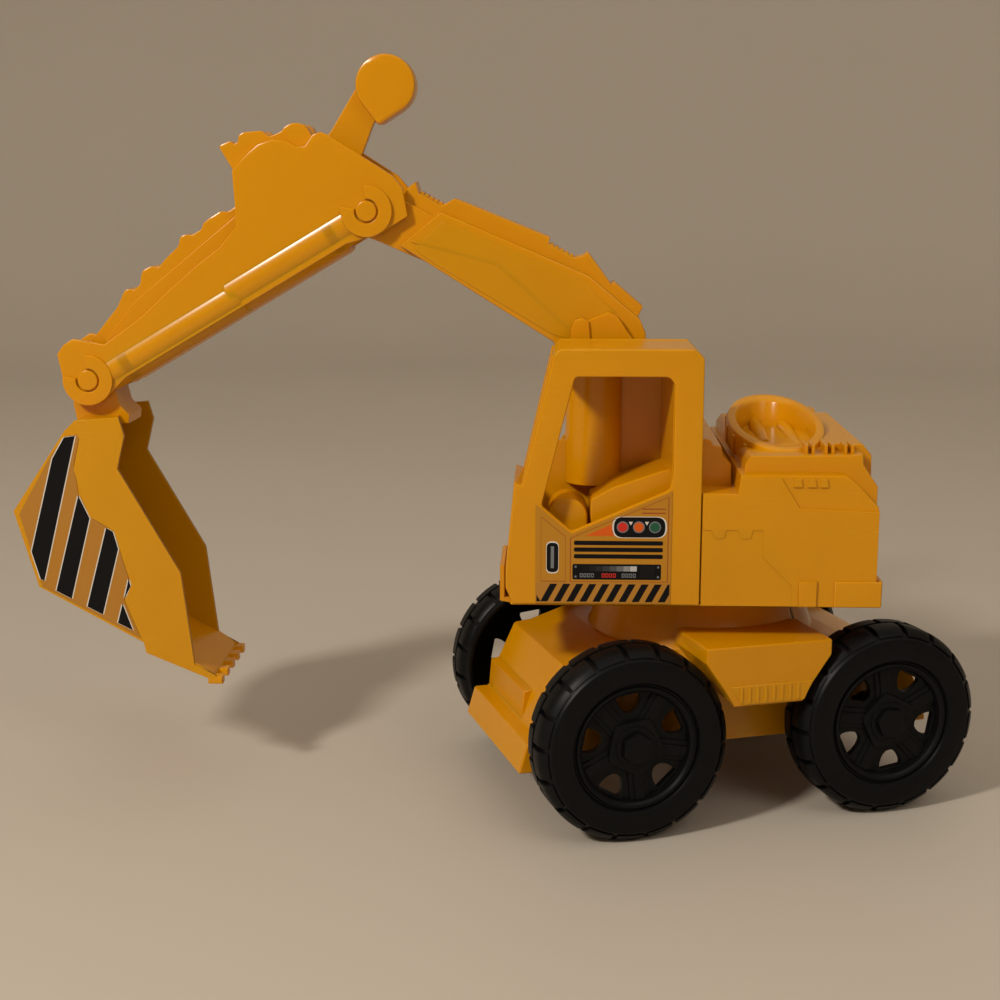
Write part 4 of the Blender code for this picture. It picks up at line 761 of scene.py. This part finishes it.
for side, hand in (("left", 1), ("right", -1)):
    shells = [slab(side_plate, 12.4, 16.4, 0.7), slab(web, SEAM, 11.2, 0.6),
              slab(eased(ribs_line, 0.9, 2), SEAM, 9.4, 0.6), slab(eased(mechanism, 0.8, 2), 3.1, 13.2, 0.6)]
    for radius, rise, start, stop in ((BIG, -0.3, 15.2, 77), (SMALL, -2.0, 70, tip - 15.2)):
        shells.append(bar((start, TUBE_FACE - radius, rise), (stop, TUBE_FACE - radius, rise), radius, 40))
    for radius, rise, start, stop in ((BIG, -0.3, 7.5, 22), (SMALL, -2.0, tip - 22, tip - 8)):
        crown = math.degrees(math.acos((12.6 - TUBE_FACE + radius) / radius))
        face = arc(TUBE_FACE - radius, rise, radius, -crown, crown, 14)
        shells.append(slab(face, start, stop, 0.3, view="front"))
    for x in (0, tip):
        shells.append(open_ring(x, 5.5, EYE, 15.5, 18.1, 78, 74))
    if hand < 0:
        for x, z in STICK_SCREWS:
            shells.append(slab(circle(x, z, 4.4), 16.4, 18.3, 0.4, holes=[circle(x, z, 3.0)]))
        shells = [flipped(shape) for shape in shells]
        for x, z in STICK_SCREWS:
            shells.append((disc(x, z, -17.9, -16.6, 2.7, 0.3, 20), STEEL))
            # A flat black cross on each screw head stands in for its cross recess: painted shade where the recess
            # would be, not a cut.
            for across, up in ((1.7, 0.35), (0.35, 1.7)):
                shells.append((slab(rectangle(x - across, x + across, z - up, z + up), -18.0, -17.5,
                                    0.05), BLACK))
    piece(f"stick_casing_{side}", "stick", STICK, shells,
          replaced=(f"stick_{side}_half",))
for name, x in (("elbow_pin", 0.0), ("bucket_pin", tip)):
    piece(f"{name}_head", "stick", STICK, [bar((x, -18, 0), (x, 18, 0), 4.9)],
          replaced=(name,))

knob = arc(-35.9, 44.3, 13.7, -7, 270, 40) + [(-25.2, 30.2), (-23.8, 31.2)]
arm = [(-34, 56), (-22.7, 50.1), (-2.9, 39.7), (19, 33.5), (24, 30), (24, 18), (18, 14),
       (10, 15), (-10.4, 23.6), (-22.1, 32.7), (-40, 40)]
piece("hand_lever", "lever", STICK,
      [slab(knob, -8, 8, 1.4), slab(arm, -2.5, 2.5, 0.7), slab(arm, -1.0, 1.0, 0.3)],
      replaced=("grab_lever",))

# %% [markdown]
# ## Bucket
# The bucket is a folded shell with flat sides, a raised band along the mouth, a toothed lip, and a
# hinge block between the stick's cheeks. Sides are slabs, and the back is a run of plates.

# %% Bucket
back = [(3.8, -17.3), (9, -22.3), (34.9, -60.4), (24.7, -96.7), (-24.6, -123.9), (-25, -128.5),
        (-57, -142)]
mouth = [(-58, -139.6), (-48, -134.1), (-42.9, -89.2), (-15.2, -39.8), (-19.1, -24.3)]
inner_back = [(-56, -138.8), (-48, -133.2), (-26.5, -121.4), (22.6, -94.8), (32.6, -60.8),
              (7.6, -23.8), (2.8, -19.6), (-13, -19.2)]
band = [(-16.7, -15.5), (3.8, -17.3), (5.6, -19), (1, -27.6), (5.5, -39.9), (-0.6, -62.4),
        (-12, -69.1), (-13.9, -75.9), (-19.2, -95.1), (-16, -102), (-24.1, -123.9),
        (-25, -128.5), (-57, -142)] + mouth
shells = both_sides(slab(back + mouth + [(-16.7, -15.5)], 26.8, 28.6, 0.35),
                    slab(band, 26.6, 29.0, 0.4))
shells.append(slab([(-13, -17)] + back + inner_back, -28.2, 28.2, 0.4))
hinge = [(7, -23), (-17, -21), (-17.5, -17), (-13, -12), (-11, -4)]
hinge += arc(0, 0, 8.4, 200, 0, 12) + [(9, -12)]
shells.append(slab(hinge, -11.8, 11.8, 0.6))
shells.append(disc(0, 0, -11.8, 11.8, 8.5, 0.5))
for y in (-20, 20):
    shells.append(slab([(2, -19), (8.4, -23), (33.8, -60.4), (31, -60.4), (6, -24)], y - 1, y + 1, 0.3))
piece("bucket_shell", "bucket_body", BUCKET, shells, replaced=("bucket",))
TEETH, TOOTH_PITCH = 5, 12.9
tooth = block((-61, -54), (-28.9, -22.5), (-143.6, -139.8), 0.9)
teeth = repeated(tooth, TEETH, step=(0, TOOTH_PITCH, 0))
piece("bucket_teeth", "bucket_body", BUCKET, [teeth])

# %% [markdown]
# ## Stickers
# A sticker is a thin film with crisp printing. Each printed shape here is a very thin slab a few
# hundredths of a millimetre proud of the film, which keeps its edge sharp at any distance.

# %% Printing helpers
FILM = COVER + 0.3    # outer face of the door sticker's film


def print_on(outline, finish, level, face=FILM, holes=()):
    """A printed shape: level 0 lies on the film, and each level is 0.04 mm further out."""
    low = face + 0.04 * level
    return slab(outline, low, low + 0.035, 0.008, holes), finish


def framed(outline, width):
    """An outline and the same outline drawn in by a width, about its middle."""
    cx = sum(x for x, _ in outline) / len(outline)
    cz = sum(z for _, z in outline) / len(outline)
    reach = max(max(abs(x - cx), abs(z - cz)) for x, z in outline)
    scale = 1 - width / reach
    return [(cx + (x - cx) * scale, cz + (z - cz) * scale) for x, z in outline]


# %% Door sticker
door_film = [(19.7, 103.2), (78.9, 103.2), (78.9, 147.2), (76.6, 145.6), (63.2, 134.2), (21.5, 152.6),
             (19.7, 153.6)]
prints = [(slab(door_film, COVER + 0.02, FILM, 0.05), ORANGE_INK)]
prints.append(print_on(rectangle(19.9, 78.7, 103.4, 112.6), GOLD_INK, 0))
STRIPE_PITCH = 5.72
stripes = [[(x, 104.0), (x + 3.1, 104.0), (x - 1.2, 112.0), (x - 4.3, 112.0)]
           for x in (73.6 - STRIPE_PITCH * i for i in range(9))]
cut_stripes = [[(22.1, 104.0), (25.2, 104.0), (21.0, 112.0), (20.2, 112.0), (20.2, 107.6)],
               [(76.6, 104.0), (78.4, 104.0), (78.4, 107.0)]]
prints += [print_on(stripe, BLACK_INK, 1) for stripe in stripes + cut_stripes]
for z in (129.5, 126.5, 123.5):
    prints.append(print_on(eased(rectangle(23.4, 62.1, z, z + 1.9), 0.7), BLACK_INK, 1))
prints.append(print_on(eased(rectangle(24.0, 62.7, 114.0, 121.0), 0.8), BLACK_INK, 0))
for i in range(8):
    x = 34.6 + 3.0 * i
    prints.append(print_on(rectangle(x, x + 2.9, 117.8, 120.1), GREYS[i], 1))
for group_x, colour in ((53.3, GREY_INK), (43.7, RED_INK), (35.0, GREY_INK)):
    for i in range(4):
        x = group_x + 1.62 * i
        prints.append(print_on(rectangle(x, x + 1.3, 115.0, 116.8), colour, 1,
                               holes=[rectangle(x + 0.35, x + 0.95, 115.4, 116.4)]))
for x in (25.3, 61.3):
    for z in (115.3, 119.7):
        prints.append(print_on(arc(x, z, 0.5, 0, 330, 11), GREY_INK, 1))
prints.append(print_on(rectangle(27, 33, 114.8, 120.2), GREYS[7], 1))
pill = eased(rectangle(22.5, 44.8, 133.0, 142.0), 4.3, 8)
prints.append(print_on(framed(pill, -0.7), WHITE_INK, 0))
prints.append(print_on(pill, BLACK_INK, 1))
for x, colour in ((41.0, RED_INK), (34.0, AMBER_INK), (27.0, GREEN_INK)):
    prints.append(print_on(circle(x, 137.6, 2.6), GREY_INK, 2))
    prints.append(print_on(circle(x, 137.6, 2.1), colour, 3))
for x in (30.5, 37.5):
    prints.append(print_on([(x - 0.9, 140.0), (x, 138.4), (x + 0.9, 140.0)], WHITE_INK, 2))
prints.append(print_on([(57.2, 133.6), (44.6, 133.6), (46.1, 138.7)], AMBER_INK, 0))
handle = eased(rectangle(68.9, 74.0, 117.2, 130.4), 2.3, 6)
prints.append(print_on(framed(handle, -0.6), WHITE_INK, 0))
prints.append(print_on(handle, BLACK_INK, 1))
prints.append(print_on(rectangle(70.8, 72.2, 119.0, 128.8), GREY_INK, 2))
for z in (143.6, 145.4):
    prints.append(print_on(rectangle(22.3, 32.6, z, z + 0.5), BROWN_INK, 0))
for edge_line in ([(65.7, 113.0), (76.6, 113.0), (76.6, 142.2), (65.7, 133.2)],
                  [(21.0, 113.0), (63.8, 113.0), (63.8, 132.6), (21.0, 151.2)]):
    prints.append(print_on(edge_line, BROWN_INK, 0, holes=[framed(edge_line, 0.4)]))
piece("door_sticker_print", "house", HOUSE, prints,
      replaced=("cab_door_sticker",), smooth=60)

# %% Bucket stickers
SIDE = 28.6    # outer face of the bucket's flat sides
film = [(8.6, -24.6), (1.6, -23.6), (5.2, -38.0), (3.6, -51.9), (-1.0, -62.4), (-8.7, -67.4),
        (-13.8, -75.9), (-19.4, -96.2), (-15.6, -102.9), (-22.8, -121.2), (22.9, -96.4),
        (32.0, -61.4), (15.3, -33.1)]
stripe_sets = (
    [(9.0, -25.2), (3.9, -24.4), (21.9, -93.6), (23.6, -92.8), (27.2, -79.6), (15.0, -35.2)],
    [(3.7, -52.6), (-1.1, -63.4), (9.3, -102.2), (16.4, -98.4)],
    [(-8.7, -67.9), (-11.8, -69.7), (-13.9, -78.0), (-5.2, -109.8), (2.0, -106.0)],
    [(-18.2, -92.4), (-19.0, -96.0), (-15.8, -101.9)],
    [(-14.8, -104.5), (-19.2, -117.4), (-12.2, -113.8)])
for hand, side in ((1, "left"), (-1, "right")):
    printed = [(slab(film, SIDE + 0.03, SIDE + 0.3, 0.05), GOLD_INK)]
    for stripe in stripe_sets:
        printed.append(print_on([(x + 0.5, z + 0.1) for x, z in stripe], WHITE_INK, 0, SIDE + 0.3))
        printed.append(print_on([(x - 0.5, z - 0.1) for x, z in stripe], WHITE_INK, 0, SIDE + 0.3))
        printed.append(print_on(stripe, BLACK_INK, 1, SIDE + 0.3))
    if hand < 0:
        printed = [(flipped(shape), finish) for shape, finish in printed]
    piece(f"bucket_sticker_print_{side}", "bucket_body", BUCKET, printed,
          replaced=(f"bucket_sticker_{side}",), smooth=60)

# %% [markdown]
# ## Floor, light and camera
# The machine stands on a pale floor that curves up into a wall all round, so no horizon shows. A
# small bright lamp gives the highlights along the tubes and a clear shadow. A wide dim lamp and a
# warm surround fill the shadows.

# %% Stage
def principled(name, colour, roughness):
    finish = bpy.data.materials.new(name)
    finish.use_nodes = True
    tree = finish.node_tree
    shader = tree.nodes["Principled BSDF"]
    spot = tree.nodes.new("ShaderNodeTexCoord").outputs["Object"]
    dark = tuple(c * 0.93 for c in colour)
    link(tree, mixed(tree, noise(tree, spot, 3.0, 5.0), dark, colour), shader.inputs["Base Color"])
    shader.inputs["Roughness"].default_value = roughness
    return finish


FLAT_RADIUS, CURVE_RADIUS, WALL_TOP = 1.8, 0.7, 2.4
floor_profile = [(0.0, 0.0), (0.5, 0.0), (1.2, 0.0)]
floor_profile += arc(FLAT_RADIUS, CURVE_RADIUS, CURVE_RADIUS, -90, 0, 9)
floor_profile.append((FLAT_RADIUS + CURVE_RADIUS, WALL_TOP))
sweep = bmesh.new()
corners = [sweep.verts.new((radius, 0.0, height)) for radius, height in floor_profile]
for a, b in zip(corners, corners[1:]):
    sweep.edges.new((a, b))
bmesh.ops.spin(sweep, geom=sweep.verts[:] + sweep.edges[:], cent=(0, 0, 0), axis=(0, 0, 1),
               angle=math.tau, steps=96, use_merge=True)
bmesh.ops.remove_doubles(sweep, verts=sweep.verts, dist=1e-5)
floor_mesh = bpy.data.meshes.new("floor")
sweep.to_mesh(floor_mesh)
sweep.free()
floor_mesh.shade_smooth()
floor_mesh.materials.append(principled("pale_floor", (0.53, 0.475, 0.40), 0.5))
floor = bpy.data.objects.new("floor", floor_mesh)
bpy.context.scene.collection.objects.link(floor)


def lamp(name, at, target, size, watts, colour):
    data = bpy.data.lights.new(name, "AREA")
    data.shape = "DISK"
    data.size = size
    data.energy = watts
    data.color = colour
    made = bpy.data.objects.new(name, data)
    made.location = at
    made.rotation_euler = (Vector(target) - Vector(at)).to_track_quat("-Z", "Y").to_euler()
    bpy.context.scene.collection.objects.link(made)


lamp("key", (0.95, 1.15, 1.25), (0, 0, 0.15), 0.22, 22.0, (1.0, 0.93, 0.84))
lamp("fill", (-1.0, 1.4, 1.5), (0, 0, 0.15), 1.2, 6.0, (1.0, 0.95, 0.9))
surround = bpy.data.worlds.new("surround")
surround.use_nodes = True
surround.node_tree.nodes["Background"].inputs["Color"].default_value = (0.60, 0.53, 0.45, 1.0)
surround.node_tree.nodes["Background"].inputs["Strength"].default_value = 1.0
bpy.context.scene.world = surround
bpy.context.scene.view_settings.view_transform = "Standard"

# The camera stands off the left side, a little above the cab, and looks slightly down.
camera_data = bpy.data.cameras.new("camera")
camera_data.lens = 58.3
camera_data.sensor_width = 36.0
camera_data.clip_start = 0.01
camera = bpy.data.objects.new("camera", camera_data)
camera.location = HOUSE @ Vector((0.0703, 0.7629, 0.2857))
YAW, PITCH = math.radians(2.0), math.radians(11.18)
look = Vector((math.sin(YAW) * math.cos(PITCH), -math.cos(YAW) * math.cos(PITCH), -math.sin(PITCH)))
camera.rotation_euler = look.to_track_quat("-Z", "Y").to_euler()
bpy.context.scene.collection.objects.link(camera)
bpy.context.scene.camera = camera
